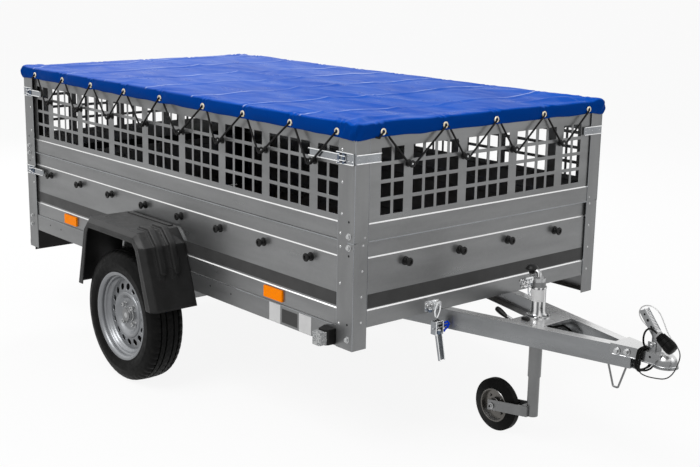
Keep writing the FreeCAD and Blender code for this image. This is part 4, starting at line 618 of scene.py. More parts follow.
def add_hex(shape, place, outward, across, tall):
    """A hexagon head with a washer under it and its corners turned off."""
    add_profile(shape, place, outward, across, tall, ((0.98, 0), (0.98, 0.16), (0.9, 0.22), (0, 0.22)), 24)
    add_profile(shape, Vector(place) + Vector(outward) * tall * 0.2, outward, across, tall,
                ((0.68, 0), (0.7, 0.08), (0.7, 0.62), (0.6, 0.8), (0, 0.8)), 6)


def add_rivet(shape, place, outward, radius, tall):
    add_profile(shape, place, outward, radius, tall, ((1.15, 0), (1, 0.45), (0.72, 0.85), (0, 1)), 16)


def add_hole(shape, place, outward, radius):
    """A punched hole, drawn as a slightly raised dark disc: painted shade for the hole's dark inside."""
    shape.lathe(place, outward, [(radius, 0), (radius, 0.0002), (0, 0.0002)], 16)


def shapes(count):
    return [Shape() for _ in range(count)]


BOARDS = "side_board_left side_board_right front_board tailgate"
PANELS = "side_panel_left side_panel_right front_panel rear_panel"
KNOB_X = (-0.941, -0.662, -0.383, -0.106, 0.167, 0.441, 0.719, 0.995)
HOOK_X = (-0.92, -0.64, -0.366, -0.088, 0.182, 0.451, 0.725, 1.005)
END_KNOB_Y = (-0.4, -0.13, 0.13, 0.4)
EYELET_X = (-1.032, -0.766, -0.51, -0.23, 0.047, 0.354, 0.614, 0.894, 1.147)
EYELET_Y = (-0.531, -0.238, 0.022, 0.285, 0.55)
HOOK_Z = 1.039

knobs, hooks, studs, holes, gate_knobs = shapes(5)
side_knobs, end_knobs = [(x, 0.697) for x in KNOB_X], [(y, 0.694) for y in END_KNOB_Y]
for shape, sides, ends in ((knobs, side_knobs, (on_front,)), (gate_knobs, (), (on_rear,))):
    for place, outward in around_box(BOARDS, sides, end_knobs, ends):
        add_spool(shape, place, outward, 0.016, 0.027)
for place, outward in around_box(PANELS, [(x, HOOK_Z) for x in HOOK_X], [(y, HOOK_Z) for y in END_KNOB_Y]):
    add_spool(hooks, place, outward, 0.0132, 0.024)
    add_rivet(studs, place + outward * 0.0214, outward, 0.0042, 0.002)

POSTS = "corner_posts front_panel front_board"
SIDE_TRIM = (
    (add_hex, studs, POSTS, (0.012, 0.0085), "1208 809, 1208 770, 1207 447, -1136 814, -1138 780"),
    (add_hex, studs, POSTS, (0.0105, 0.0075), "-1134 473, -1138 431"),
    (add_rivet, studs, POSTS, (0.0045, 0.0022),
     "1169 990, 1169 881, 1163 814, 1164 767, 1165 639, 1162 496, 1166 1100, -1108 1000, -1108 890, "
     "-1104 760, -1104 640"),
    (add_hole, holes, POSTS, (0.0042,), "1207 859, 1209 742, 1206 500, -1136 860, -1137 742"),
    (add_hole, holes, "side_rails", (0.0035,), "-955 455, -851 453, 380 455, 520 453"))
for side in SIDES:
    for add, shape, names, size, places in SIDE_TRIM:
        for x, z in mm(places):
            add(shape, on_side(names, x, z, side), Vector((0, side, 0)), *size)
    for y, z in mm("596 991, 596 906, 596 804, 602 777, 604 688, 606 598, 606 507"):
        add_rivet(studs, on_front(POSTS, side * y, z), (1, 0, 0), 0.004, 0.002)
knobs.make("cord_buttons", BLACK, "box")
hooks.make("cord_hooks", BLACK, "box")
studs.make("bolts_and_rivets", BRIGHT, "box")
holes.make("punched_holes", HOLE_SHADE, "box")
gate_knobs.make("gate_buttons", BLACK, "tailgate")

# Dark bands along the lower boards, and blank labels on the right rail
bands, gate_band, labels, dark_label = shapes(4)
FILM = 0.0004
for side in SIDES:
    face = abs(on_side(BOARDS, 0.4, 0.58, side).y)
    bands.plate(side, (-1.084, 1.15), (face, face + FILM), (0.553, 0.6))
face = on_front("front_board", 0.02, 0.58).x
bands.block((face, -0.58, 0.55), (face + FILM, 0.58, 0.6))
face = on_rear("tailgate", 0.02, 0.58).x
gate_band.block((face - FILM, -0.58, 0.55), (face, 0.58, 0.6))
face = on_side("side_rails", 0.8, 0.43, -1).y
for sheet, low, high, foot, head in ((labels, 0.765, 0.831, 0.4115, 0.4815), (dark_label, 0.841, 0.931, 0.42, 0.4715),
                                     (labels, 0.941, 1.01, 0.4115, 0.479)):
    sheet.block(at(low, face - FILM, foot), at(high, face, head))
bands.make("dark_bands", BAND, "box")
gate_band.make("gate_band", BAND, "tailgate")
labels.make("blank_labels", PAPER, "box")
dark_label.make("blank_plate", BAND, "box")


# Corner grooves, the boards' joint and the box's other small sheet metal
seams, linings, stops = shapes(3)
JOINT_Z = 0.787
JOINT = (JOINT_Z - 0.0016, JOINT_Z + 0.0016)
SHEET_METAL = (
    (seams, (-1.129, 1.15), (0.639, 0.641), JOINT),
    (seams, (-1.08, 1.148), (0.6426, 0.6438), (0.4822, 0.4846)),
    (seams, (1.1488, 1.1512), (0.6435, HALF_WIDTH), (0.484, 1.14)),
    (seams, (-1.0862, -1.0838), (0.6435, HALF_WIDTH), (0.484, 1.14)),
    (linings, (1.205, 1.2318), (0.6332, 0.6428), (0.788, 1.186)),
    (linings, (-1.164, -1.135), (0.6332, 0.6428), (0.788, 1.186)),
    (linings, (1.233, 1.2352), (0.5812, 0.6446), (0.79, 1.146)),
    (seams, (1.2335, 1.2358), (0.5802, 0.5818), (0.79, 1.14)),
    (seams, (1.2335, 1.2358), (0.6435, 0.6451), (0.79, 1.14)),
    (seams, (1.2335, 1.235), (0.5806, 0.5818), (0.49, 0.78)),
    (seams, (1.233, 1.2344), (0.6438, 0.6454), (0.412, 0.78)),
    (seams, (1.202, 1.235), (0.6435, 0.6458), (0.7855, 0.7885)),
    (stops, (-1.1352, -1.1298), (0.566, 0.6445), (0.49, 1.186)))
for side in SIDES:
    for shape, x, y, z in SHEET_METAL:
        shape.plate(side, x, y, z)
stops.plate(1, (-1.1345, -1.1325), (-0.59, 0.59), (0.766, 0.797))
seams.plate(1, (1.232, 1.2348), (-0.58, 0.58), JOINT)
stops.make("gate_stops", BLACK, "box")
seams.make("board_joints", TOGGLE, "box")
linings.make("groove_linings", POST, "box")


# Toggle fasteners that hold the mesh panels to the posts
toggles, toggle_edge_highlights, gate_toggles, gate_edge_highlights, toggle_barrels, toggle_holes = shapes(6)


def add_channel(shape, edges, start, along, outward, length, half, deep, gauge=0.0016):
    """A strip with both long edges folded outward, and a thin pale tube on each fold as a painted highlight."""
    section = [(0, -half), (deep, -half), (deep, gauge - half), (gauge, gauge - half), (gauge, half - gauge),
               (deep, half - gauge), (deep, half), (0, half)]
    shape.extrude(section, start, outward, (0, 0, 1), Vector(along) * length)
    for lift in (gauge / 2 - half, half - gauge / 2):
        first = Vector(start) + Vector(outward) * deep + Vector((0, 0, lift))
        edges.tube([first, first + Vector(along) * length], 0.0017, 6)


def add_side_toggle(x, inward, side, z, length):
    """A hinged lever on a folded plate, reaching from the corner along the side."""
    along, outward, up = Vector((inward, 0, 0)), Vector((0, side, 0)), Vector((0, 0, 1))
    corner = at(x, side * 0.6453, z)
    hinge = 0.066
    for reach, stand, strip, half, deep, gauge in (
            (0.002, 0, 0.086, 0.02, 0.0065, 0.0024), (hinge, 0.0032, length - hinge, 0.0135, 0.0082, 0.0026),
            (0.04, 0.003, 0.03, 0.0085, 0.007, 0.0016)):
        add_channel(toggles, toggle_edge_highlights, corner + along * reach + outward * stand, along, outward, strip, half, deep,
                    gauge)
    for reach, radius in ((0.052, 0.005), (0.076, 0.0056)):
        toggle_barrels.lathe(corner + along * reach + outward * 0.006 - up * 0.0185, up,
                             [(0, 0), (radius, 0), (radius, 0.037), (0, 0.037)], 20)
    for reach in (0.012, 0.03):
        for lift in (-0.0105, 0.0105):
            add_rivet(toggles, corner + along * reach + outward * 0.0016 + up * lift, outward, 0.0036, 0.0022)
    for share in (0.4, 0.62, 0.84):
        add_hole(toggle_holes, corner + along * (hinge + (length - hinge) * share) + outward * 0.005, outward, 0.0042)


def add_end_strap(shape, edges, x, end, side, z):
    """The fixed half of a fastener, on the front or the rear."""
    start = at(x, side * 0.644, z)
    outward = Vector((end, 0, 0))
    add_channel(shape, edges, start, (0, -side, 0), outward, 0.109, 0.016, 0.0068, 0.0026)
    for number in range(5):
        lift = 0.003 if number % 2 else -0.003
        place = start + Vector((end * 0.0016, -side * (0.014 + 0.021 * number), lift))
        add_rivet(shape, place, outward, 0.0034, 0.0024)


for side in SIDES:
    add_side_toggle(1.233, -1, side, 1.073, 0.231)
    add_side_toggle(-1.165, 1, side, 1.073, 0.177)
    add_side_toggle(-1.165, 1, side, 0.702, 0.177)
    add_end_strap(toggles, toggle_edge_highlights, 1.2343, 1, side, 1.073)
    add_end_strap(toggles, toggle_edge_highlights, -1.1663, -1, side, 1.073)
    add_end_strap(gate_toggles, gate_edge_highlights, -1.1663, -1, side, 0.702)
toggles.make("toggle_fasteners", TOGGLE, "box", ("corner_toggles",), bevel=0.0004)
toggle_barrels.make("toggle_barrels", STEEL_BLUE, "box")
toggle_holes.make("toggle_holes", HOLE_SHADE, "box")
toggle_edge_highlights.make("toggle_edge_highlights", HIGHLIGHT_ZINC, "box", smooth=60)
gate_edge_highlights.make("gate_fastener_highlights", HIGHLIGHT_ZINC, "tailgate", smooth=60)
gate_toggles.make("gate_fasteners", TOGGLE, "tailgate", ("gate_strikers",), bevel=0.0004)


# Tipping latches under the front board
def add_ball(shape, centre, radius, squash=1.0):
    profile = [(radius * math.sin(math.pi * i / 10), -radius * squash * math.cos(math.pi * i / 10)) for i in range(11)]
    profile[0], profile[-1] = (0, profile[0][1]), (0, profile[-1][1])
    shape.lathe(centre, (1, 0, 0), profile, 20)


catches, catch_bolts, latches, latch_joints, clips, catch_pivots, latch_highlights = shapes(7)
for side in SIDES:
    def spot(x, y, z, side=side):
        return at(x, side * y, z)

    def path(points):
        return [spot(*point) for point in mm(points)]

    catches.block(*path("1232.3 236 490, 1235 302 528"))
    catches.lathe(spot(1.2345, 0.252, 0.519), (1, 0, 0), mm("0 0, 8.5 0, 8.5 4, 6 5, 6 19, 9 19.5, 9 23, 0 23.5"), 20)
    ring = []
    for cosine, sine in ring_points(28):
        reach = 0.0125 * cosine * (1 if sine > 0 else 1 - 0.35 * abs(sine))
        ring.append(spot(1.248 + 0.005 * sine, 0.252 + reach, 0.4935 + 0.032 * sine))
    catches.tube(ring, 0.0032, 10, closed=True)
    for y in (0.271, 0.293):
        add_hex(catch_bolts, spot(1.235, y, 0.512), (1, 0, 0), 0.0095, 0.0075)
    add_ball(catch_pivots, spot(1.244, 0.286, 0.496), 0.0085)
    for y in (0.236, 0.268):
        latches.block(spot(1.234, y - 0.0014, 0.402), spot(1.262, y + 0.0014, 0.4515))
    latches.block(*path("1232.3 236 402, 1234.5 268 451.5"))
    for points, radius in (("1254 222 440, 1254 270 440", 0.003), ("1254 212 426.5, 1254 284 426.5", 0.003),
                           ("1248 252 451, 1250 252 430, 1252 252 415", 0.0036)):
        latches.tube(path(points), radius, 10)
    add_ball(latch_joints, spot(1.256, 0.252, 0.413), 0.0125)
    lever = [(side * y, z) for y, z in mm("265 408, 240 408, 219 300, 242 298.5")]
    plane = at(1.25, 0, 0), (0, 1, 0), (0, 0, 1)
    latches.extrude(lever, *plane, (0.0022, 0, 0))
    for (a, b), (c, d) in ((lever[0], lever[3]), (lever[1], lever[2])):
        thick = side * 0.002
        latches.extrude([(a, b), (a - thick, b), (c - thick, d), (c, d)], *plane, (0.011, 0, 0))
        # Thin pale tubes along the lever's edges: painted highlight.
        latch_highlights.tube([at(1.261, a, b), at(1.261, c, d)], 0.0016, 6)
    for points in ("1262.5 234.6 402.5, 1262.5 234.6 451", "1262.5 269.4 402.5, 1262.5 269.4 451"):
        latch_highlights.tube(path(points), 0.0016, 6)
    latch_highlights.tube(path("1260 234 451.5, 1260 270 451.5"), 0.002, 8)
    loop = path("1260 226 442, 1262.5 214 446, 1263 206 436, 1262.5 213 424, 1262 225 418, 1260 229 410")
    clips.tube(loop, 0.0038, 10)
    clips.tube(path("1261 228 433, 1262.5 216 434, 1262.5 211 424"), 0.0036, 10)
catches.make("latch_rings", HIGHLIGHT_ZINC, "box", ("latch_catches",), bevel=0.0004)
catch_bolts.make("latch_bolts", BRIGHT, "box")
latches.make("latch_levers", TOGGLE, "chassis", ("tip_latches",), bevel=0.0004)
latch_highlights.make("latch_rim_highlights", HIGHLIGHT_ZINC, "chassis", smooth=60)
catch_pivots.make("catch_pivots", STEEL_BLUE, "box", smooth=60)
latch_joints.make("latch_pivots", STEEL_BLUE, "chassis", smooth=60)
clips.make("latch_clips", CLIP, "chassis", smooth=60)


# Mudguards: two raised ribs down the front and a lip along the top
def add_rib(shape, path, y, half, high):
    """A raised pad along a path of (x, z) points, its far end rounded."""
    points, faces = [], []
    count = len(path)
    for i, (x, z) in enumerate(path):
        before, after = path[max(i - 1, 0)], path[min(i + 1, count - 1)]
        line = Vector((after[0] - before[0], 0, after[1] - before[1])).normalized()
        normal = Vector((-line.z, 0, line.x))
        left = (count - 1 - i) / 3
        narrow = math.sqrt(max(0.0, 1 - (1 - min(left, 1.0)) ** 2))
        for share, lift in ((-1, -0.001), (-0.8, high), (0.8, high), (1, -0.001)):
            rise = lift * narrow if lift > 0 else lift
            points.append(Vector((AXLE + x, y + half * share * max(narrow, 0.05), z)) + normal * rise)
    for i in range(count - 1):
        for k in range(3):
            faces.append((4 * i + k, 4 * i + k + 1, 4 * i + 5 + k, 4 * i + 4 + k))
    shape.add(points, faces)


RIB_PATH = mm("85 650.2, 120 650.2, 150 650, 156 646, 181.6 620, 199 602, 204.5 594, 209.5 580, 219.8 550, 230.2 520, "
              "235 506, 238.5 496, 241 488.5, 242.5 484")
for side, hand in HANDS:
    ribs = Shape()
    for y in (0.769, 0.706):
        add_rib(ribs, RIB_PATH, side * y, 0.0165, 0.0105)
    ribs.plate(side, (-0.205, 0.12), (0.644, 0.664), (0.649, 0.6545))
    ribs.make("mudguard_ribs_" + hand, GUARD, "box", bevel=0.0012)


# Marker lamps, each at the end of a wedge, and the blocks that carry the lamp board
lamp_hoods, lamp_ribs = shapes(2)
WEDGE = mm("1086 644.5, 1148 644.5, 1146 676, 1138 686, 1104 686")
LAMP = mm("1098 678, 1142 678, 1142 708, 1136 713, 1104 713, 1098 708")
for side in SIDES:
    for shape, outline, low, tall in ((lamp_hoods, WEDGE, 0.417, 0.056), (lamp_ribs, LAMP, 0.42, 0.046)):
        shape.extrude([(x, side * y) for x, y in outline], (AXLE, 0, low), (1, 0, 0), (0, 1, 0), (0, 0, tall))
    lamp_hoods.plate(side, (-1.1773, -1.1663), (0.604, 0.641), (0.323, 0.349))
    for number in range(6):
        low = 0.4235 + 0.007 * number
        lamp_ribs.plate(side, (1.104, 1.134), (0.712, 0.7138), (low, low + 0.003))
lamp_hoods.make("marker_hoods", BLACK, "box", ("plastic_brackets",), bevel=0.001)
lamp_ribs.make("marker_lenses", CLEAR, "box", ("marker_lamps",), bevel=0.0012)


# Drawbar: coupling, plug and jockey wheel
coupling_trim, coupling_bolts, hole_shade_discs = shapes(3)
LIP_Z = 0.453
for side in SIDES:
    outward = Vector((0, side, 0))
    for x, z in ((1.8857, 0.4668), (1.92, 0.47)):
        place = on_side("coupling_housing drawbar_rail_left drawbar_rail_right", x, z, side, 1)
        add_hex(coupling_bolts, place, outward, 0.0125, 0.011)
    coupling_trim.tube([on_side("coupling_housing", x, LIP_Z, side, 1) + outward * 0.0006 for x, in mm(
        "1870, 1890, 1910, 1930, 1950, 1970, 1990, 2010, 2025, 2035, 2045, 2055, 2065, 2075, 2080")], 0.0021, 8)
    add_hole(hole_shade_discs, on_side("coupling_housing", 2.006, 0.474, side, 1), outward, 0.0042)
nose = [(math.cos(math.radians(turn)), math.sin(math.radians(turn))) for turn in range(-65, 66, 10)]
coupling_trim.tube([seat("coupling_housing", at(2.045 + x, y, LIP_Z), (-x, -y, 0)) for x, y in nose], 0.0021, 8)
coupling_trim.make("coupling_lip", TOGGLE, "chassis", smooth=60)
coupling_bolts.make("coupling_bolts", BRIGHT, "chassis")

# The handle's serrated grip, its two side beads and the bracket at its foot
handle_line = Vector((-0.63, 0, 0.777))
handle_out = Vector((0.777, 0, 0.63))
grip = at(2.0098, 0, 0.557)
teeth = Shape()
for number in range(15):
    start = grip + handle_line * (0.006 + 0.0052 * number)
    teeth.extrude(mm("0 -0.4, 3 -0.4, 1.5 2.2"), start + Vector((0, -0.007, 0)), handle_line, handle_out, (0, 0.014, 0))
for y in (-0.0118, 0.0098):
    teeth.extrude(mm("0 -0.4, 86 -0.4, 84 2, 2 2"), grip + Vector((0, y, 0)), handle_line, handle_out, (0, 0.002, 0))
teeth.make("handle_teeth", TOGGLE, "chassis")
foot = Shape()
for side in SIDES:
    outward = Vector((0, side, 0))
    for reach, radius in mm("22 4.2, 46 4.8, 68 3.6"):
        place = grip + handle_line * reach - handle_out * 0.0095 + outward * 0.013
        add_hole(hole_shade_discs, place, outward, radius)
    foot.plate(side, (1.984, 2.014), (0.013, 0.019), (0.488, 0.52))
    foot.lathe(at(1.999, side * 0.019, 0.508), outward, mm("8 0, 8 2, 6 5.5, 0 6"), 20)
hole_shade_discs.make("drawbar_holes", HOLE_SHADE, "chassis")
foot.make("handle_bracket", NECK, "chassis", bevel=0.0012)

PLUG_DIP = math.radians(33)
plug_way = Vector((math.cos(PLUG_DIP), 0, -math.sin(PLUG_DIP)))
plug_start = at(2.027, -0.03, 0.557)
plug_body = Shape()
plug_body.lathe(plug_start, plug_way, mm(
    "0 0, 9 0, 12.5 1, 14 3, 14 10, 12.8 11.2, 15 13, 17.8 14.5, 18 16.5, 16.6 17.8, 18.4 19.2, 18.6 21.4, 17.2 22.8, "
    "19 24.2, 19.2 26.4, 17.8 27.8, 19.6 29.2, 20 32, 20.4 40, 20.6 44.5, 19.4 45.2, 19.4 46.2, 21.8 47, 22 50, 22 56, "
    "21.6 64, 20.8 70, 19 74, 15 75.7, 0 76"), 40)
across = Vector((0, 1, 0))
for x, y in ring_points(10):
    around = across * x + plug_way.cross(across) * y
    base = plug_start + plug_way * 0.048 + around * 0.0205
    plug_body.tube([base, base + plug_way * 0.018 + around * 0.0002], 0.002, 6)
plug = plug_body.make("plug_body", SOFT_BLACK, "chassis", ("trailer_plug",), smooth=40)
collar = Shape()
collar.lathe(plug_start, plug_way, mm("13.8 1.8, 14.4 2.2, 14.4 8.5, 13.8 9"), 32, closed=True)
collar.make("plug_ring", GREY_PLASTIC, "chassis")

# Jockey wheel: its mast, the bracket that holds it, and its wheel
UP = (0, 0, 1)
mast, knob, clamp, sleeve, lever_grip = shapes(5)
MAST_X = AXLE + 1.5
CRANK_X = 1.464
mast.lathe((MAST_X, 0, 0.6), UP, mm("22.5 0, 23.6 1, 23.9 4, 23.6 6.8, 22.6 8.4, 19 12.6, 11 14, 0 14"), 40)
mast.tube([(MAST_X, 0, 0.613), (MAST_X, 0, 0.636), (MAST_X - 0.004, 0, 0.644), (MAST_X - 0.014, 0, 0.648)], 0.0085, 14)
mast.make("mast_cap", CHROME, "jockey_mast", smooth=50)
knob.lathe(at(CRANK_X, 0, 0.634), UP, mm(
    "0 0, 8.8 0, 9.6 2, 9.6 8, 11 10.5, 16.5 13.5, 22.8 15.8, 24 18, 23.8 20.5, 21.5 22.5, 19 26.8, 15 30.8, "
    "9 33, 0 33.7"), 40)
for x, y in ring_points(12):
    rib = [at(CRANK_X + reach * x, reach * y, z) for reach, z in ((0.0095, 0.635), (0.0105, 0.645))]
    knob.tube(rib, 0.0013, 6)
knob.make("mushroom_knob", BLACK, "jockey_mast", ("crank_knob",), smooth=40)
STAR = at(1.435, -0.01, 0.593)
clamp.tube([(MAST_X - 0.0262, -0.006, 0.586), STAR], 0.005, 12)
for x, z in ring_points(3, 0.4):
    clamp.lathe(STAR + Vector((0.0105 * x, 0, 0.0105 * z)), (0, 1, 0),
                mm("0 -8, 5 -7.6, 7.8 -5, 8.2 0, 7.8 5, 5 7.6, 0 8"), 18)
clamp.lathe(STAR, (0, -1, 0), mm("9.5 -6, 9.5 6, 6 10, 0 10"), 20)
clamp.lathe((MAST_X, 0, 0.484), UP, mm(
    "24.5 0, 44 0, 44 4, 35 5.8, 29 12, 26.8 23, 26.4 34, 26.2 104, 27.6 105, 28 108, 27.6 111, 26.2 112, "
    "24.5 112"), 48, closed=True)
clamp.lathe((MAST_X, 0, 0.454), UP, mm("24.5 0, 29.5 0, 30.3 1, 30.3 25, 29.5 26, 24.5 26"), 40, closed=True)
clamp.block((MAST_X - 0.044, -0.014, 0.454), (MAST_X - 0.026, 0.014, 0.48))
for angle in (35, 145, 215, 325):
    turned = Vector((math.cos(math.radians(angle)), math.sin(math.radians(angle)), 0))
    add_hex(clamp, Vector((MAST_X, 0, 0.4878)) + turned * 0.0375, UP, 0.0075, 0.006)
clamp.make("jockey_bracket", CHROME, "chassis", ("jockey_clamp",), smooth=40)
wrap = [math.radians(-140 + 10 * step) for step in range(15)]
arc = [(radius * math.cos(angle), radius * math.sin(angle))
       for radius, angles in ((0.0268, wrap), (0.0262, wrap[::-1])) for angle in angles]
for first in range(14):
    quad = [arc[first], arc[first + 1], arc[28 - first], arc[29 - first]]
    sleeve.extrude(quad, (MAST_X, 0, 0.543), (1, 0, 0), (0, 1, 0), (0, 0, 0.044))
sleeve.make("blank_sleeve", PAPER, "chassis", smooth=50)
lever_way = Vector((0.0593, 0.0, -0.025)).normalized()
lever_grip.lathe(at(1.3677, -0.074, 0.4975), lever_way, mm(
    "0 0, 4.5 0.6, 8 3, 9.8 8, 10.5 17, 10.4 27, 9.2 40, 7.4 52, 6.2 60, 5.6 64, 0 64.2"), 28)
lever_grip.block(at(1.494, -0.081, 0.4843), at(1.524, -0.067, 0.494))
lever_grip.make("lever_grip", BLACK, "chassis", ("lever_grips",), bevel=0.001, smooth=40)
hub, axle_nuts, axle_ends, inside = shapes(4)
JOCKEY_HUB = at(1.33, 0, 0.1)
for side in SIDES:
    outward = Vector((0, side, 0))
    hub.lathe(JOCKEY_HUB, outward, mm("58.5 20.5, 60 23.2, 62.5 23.8, 64 22.2, 63 20.5"), 64, closed=True)
    hub.lathe(JOCKEY_HUB, outward, mm("25 14, 27 17, 24 19, 18 18, 0 18"), 40)
    for x, z in ring_points(4, math.tau / 8):
        add_rivet(hub, JOCKEY_HUB + Vector((0.04 * x, side * 0.011, 0.04 * z)), outward, 0.0042, 0.004)
    end = JOCKEY_HUB + outward * 0.035
    add_hex(axle_nuts, end, outward, 0.012, 0.0085)
    axle_ends.lathe(end + outward * 0.0084, outward, mm("5.2 -1, 5.2 0.8, 0 1"), 16)
hub.make("jockey_rim_trim", DULL, "jockey_wheel")
axle_nuts.make("jockey_axle_nuts", BRIGHT, "jockey_leg")
axle_ends.make("jockey_axle_ends", BLACK, "jockey_leg")
inside.tube([at(*point) for point in mm("1470 98 421, 1494 99 421, 1540 97 440, 1575 86 438, 1607 78 424")], 0.0042, 10)
inside.make("inner_cable", SOFT_BLACK, "chassis", smooth=60)


# Cover: one stretched sheet with a hem, folded down over the rims and laced
COVER_TOP = 1.1915
COVER_FOOT = 1.141
STAND_OFF = 0.0042
CORNER = 0.016
INSET = 0.022
CRISP, SOFT = 0.005, 0.0115
box_middle = AXLE + (BOX_FRONT + BOX_REAR) / 2
half_long = (BOX_FRONT - BOX_REAR) / 2 + STAND_OFF
half_wide = HALF_WIDTH + STAND_OFF
FOLD_MARKS = [FOLD_PITCH * (number + 0.5) for number in range(-5, 3)]


def wave(x, y, z, size):
    return noise.noise(Vector((x / size, y / size, z / size)))


def bell(value, width):
    return math.exp(-(value / width) ** 2)


def nearest(value, places):
    return min((value - place for place in places), key=abs)


def creased(value, width):
    """A sharp ridge: 1 on the line, falling to 0 a width away on both sides."""
    return max(0.0, 1.0 - abs(value) / width) ** 1.6


def top_height(x, y):
    """How high the sheet lies, from a slow sag, packing folds and pulls towards the edges and corners."""
    along, across = x - box_middle, y
    edge = min(half_long - abs(along), half_wide - abs(across))
    inside = min(1.0, max(0.0, edge - 0.01) / 0.1)
    height = COVER_TOP + inside * (0.007 * wave(x, y, 0.3, 0.46) + 0.0008 * wave(x, y, 1.7, 0.13) - 0.0015)
    slant = 0.55 * x + y
    height += inside * 0.009 * wave(slant * 2.2, (x - 0.55 * y) * 0.45, 2.4, 0.42)
    for number in range(5):
        line = across + 0.36 - 0.2 * number - (0.22 + 0.05 * number) * (along - 0.2)
        line -= 0.05 * wave(x, 1.0 * number, 0.0, 0.5)
        height += inside * 0.006 * creased(line, 0.055) * bell(along - 0.75 + 0.35 * number, 0.42)
    for number, mark in enumerate(FOLD_MARKS):
        gap = x - mark - SWAY * math.sin(SWAY_RATE * y)
        strength = 0.75 + 0.6 * wave(number * 2.3, y, 0.9, 0.3)
        height += (0.0044 if number % 2 else 0.0036) * strength * creased(gap, 0.02) * inside
        height -= 0.0022 * strength * bell(gap - 0.03, 0.02) * inside
    height += 0.002 * creased(across + 0.02 + 0.01 * wave(x, 0.0, 4.2, 0.4), 0.012) * inside
    if half_long - abs(along) > half_wide - abs(across):
        pull, away = nearest(x - AXLE, EYELET_X), half_wide - abs(across)
    else:
        pull, away = nearest(across, EYELET_Y), half_long - abs(along)
    height -= 0.0036 * bell(pull, 0.026) * math.exp(-away / 0.04)
    spoke = math.atan2(pull, away + 0.012)
    height += 0.0026 * math.cos(spoke * 9) * bell(spoke, 0.95) * bell(away - 0.03, 0.034)
    for end in SIDES:
        for side in SIDES:
            a, b = half_long - end * along, half_wide - side * across
            reach, angle = math.hypot(a, b), math.atan2(b, a)
            height += 0.0052 * math.sin(angle * 10 + end + 2 * side) * bell(reach - 0.15, 0.12)
            height += 0.0078 * creased(b - 0.06 - 0.12 * a, 0.045) * bell(a - 0.26, 0.24)
            height += 0.0066 * creased(a - 0.065 - 0.16 * b, 0.045) * bell(b - 0.21, 0.17)
    low = 0.0026 if edge < 0.05 else 0.0026 + 0.1 * (edge - 0.05)
    return min(max(height, COVER_TOP - min(low, 0.012)), COVER_TOP + 0.011)


def skirt_bulge(along, places, depth, seed):
    """How far the hanging hem stands out: drawn in and gathered at each eyelet, full between them."""
    pull = nearest(along, places)
    full = 1 - bell(pull, 0.055)
    puff = (0.008 + 0.004 * wave(along, 0.0, seed + 2.0, 0.21)) * full * math.sin(math.pi * (0.1 + 0.9 * depth) ** 0.85)
    tent = 0.0044 * bell(pull - 0.026, 0.016) * depth ** 1.5
    gather = 0.0021 * math.cos(pull * math.tau / 0.021) * bell(pull, 0.034) * (1 - depth) ** 0.7
    slant = 0.0026 * creased(pull - 0.02 - 0.055 * (1 - depth), 0.012) * (1 - 0.6 * depth)
    slack = 0.0018 * wave(along, depth * 0.05, seed, 0.07) * (0.3 + 0.7 * depth)
    return 0.0014 + puff + tent + gather + slant + slack


def round_corner(x, y):
    """Bend a square's corners to quarter circles, and say which way the edge faces."""
    core_x = max(-(half_long - CORNER), min(half_long - CORNER, x))
    core_y = max(-(half_wide - CORNER), min(half_wide - CORNER, y))
    away = Vector((x - core_x, y - core_y))
    if away.x and away.y:
        far = max(abs(away.x), abs(away.y))
        away = away.normalized() * far
    return Vector((core_x, core_y)) + away, (away.normalized() if away.length else Vector((0, 0)))


def grid_lines(half, marks, count):
    """Places from one edge to the other, closer together near the marks and the corners."""
    fine = 2400
    places = [half * (2 * i / fine - 1) for i in range(fine + 1)]
    weight = [1 + 3.2 * bell(nearest(place, marks), 0.034) + 3.5 * bell(half - abs(place), 0.02) for place in places]
    total, sums = 0.0, [0.0]
    for low, high in zip(weight, weight[1:]):
        total += (low + high) / 2
        sums.append(total)
    found, spot = [], 0
    for i in range(count + 1):
        while spot < fine and sums[spot] < total * i / count:
            spot += 1
        found.append(places[spot])
    return found


def corner_pleat(flat, depth):
    """Extra stand-out and sag where the hem is bunched up round a corner."""
    a, b = half_long - abs(flat.x), half_wide - abs(flat.y)
    along = a - b + 0.6 * (0.5 - depth) * 0.05 * (1 if flat.x * flat.y < 0 else -1)
    near = bell(max(a, b) - 0.01, 0.06)
    return 0.004 * math.sin(along * math.tau / 0.036) * near * (0.35 + 0.65 * math.sin(math.pi * depth)), 0.005 * near


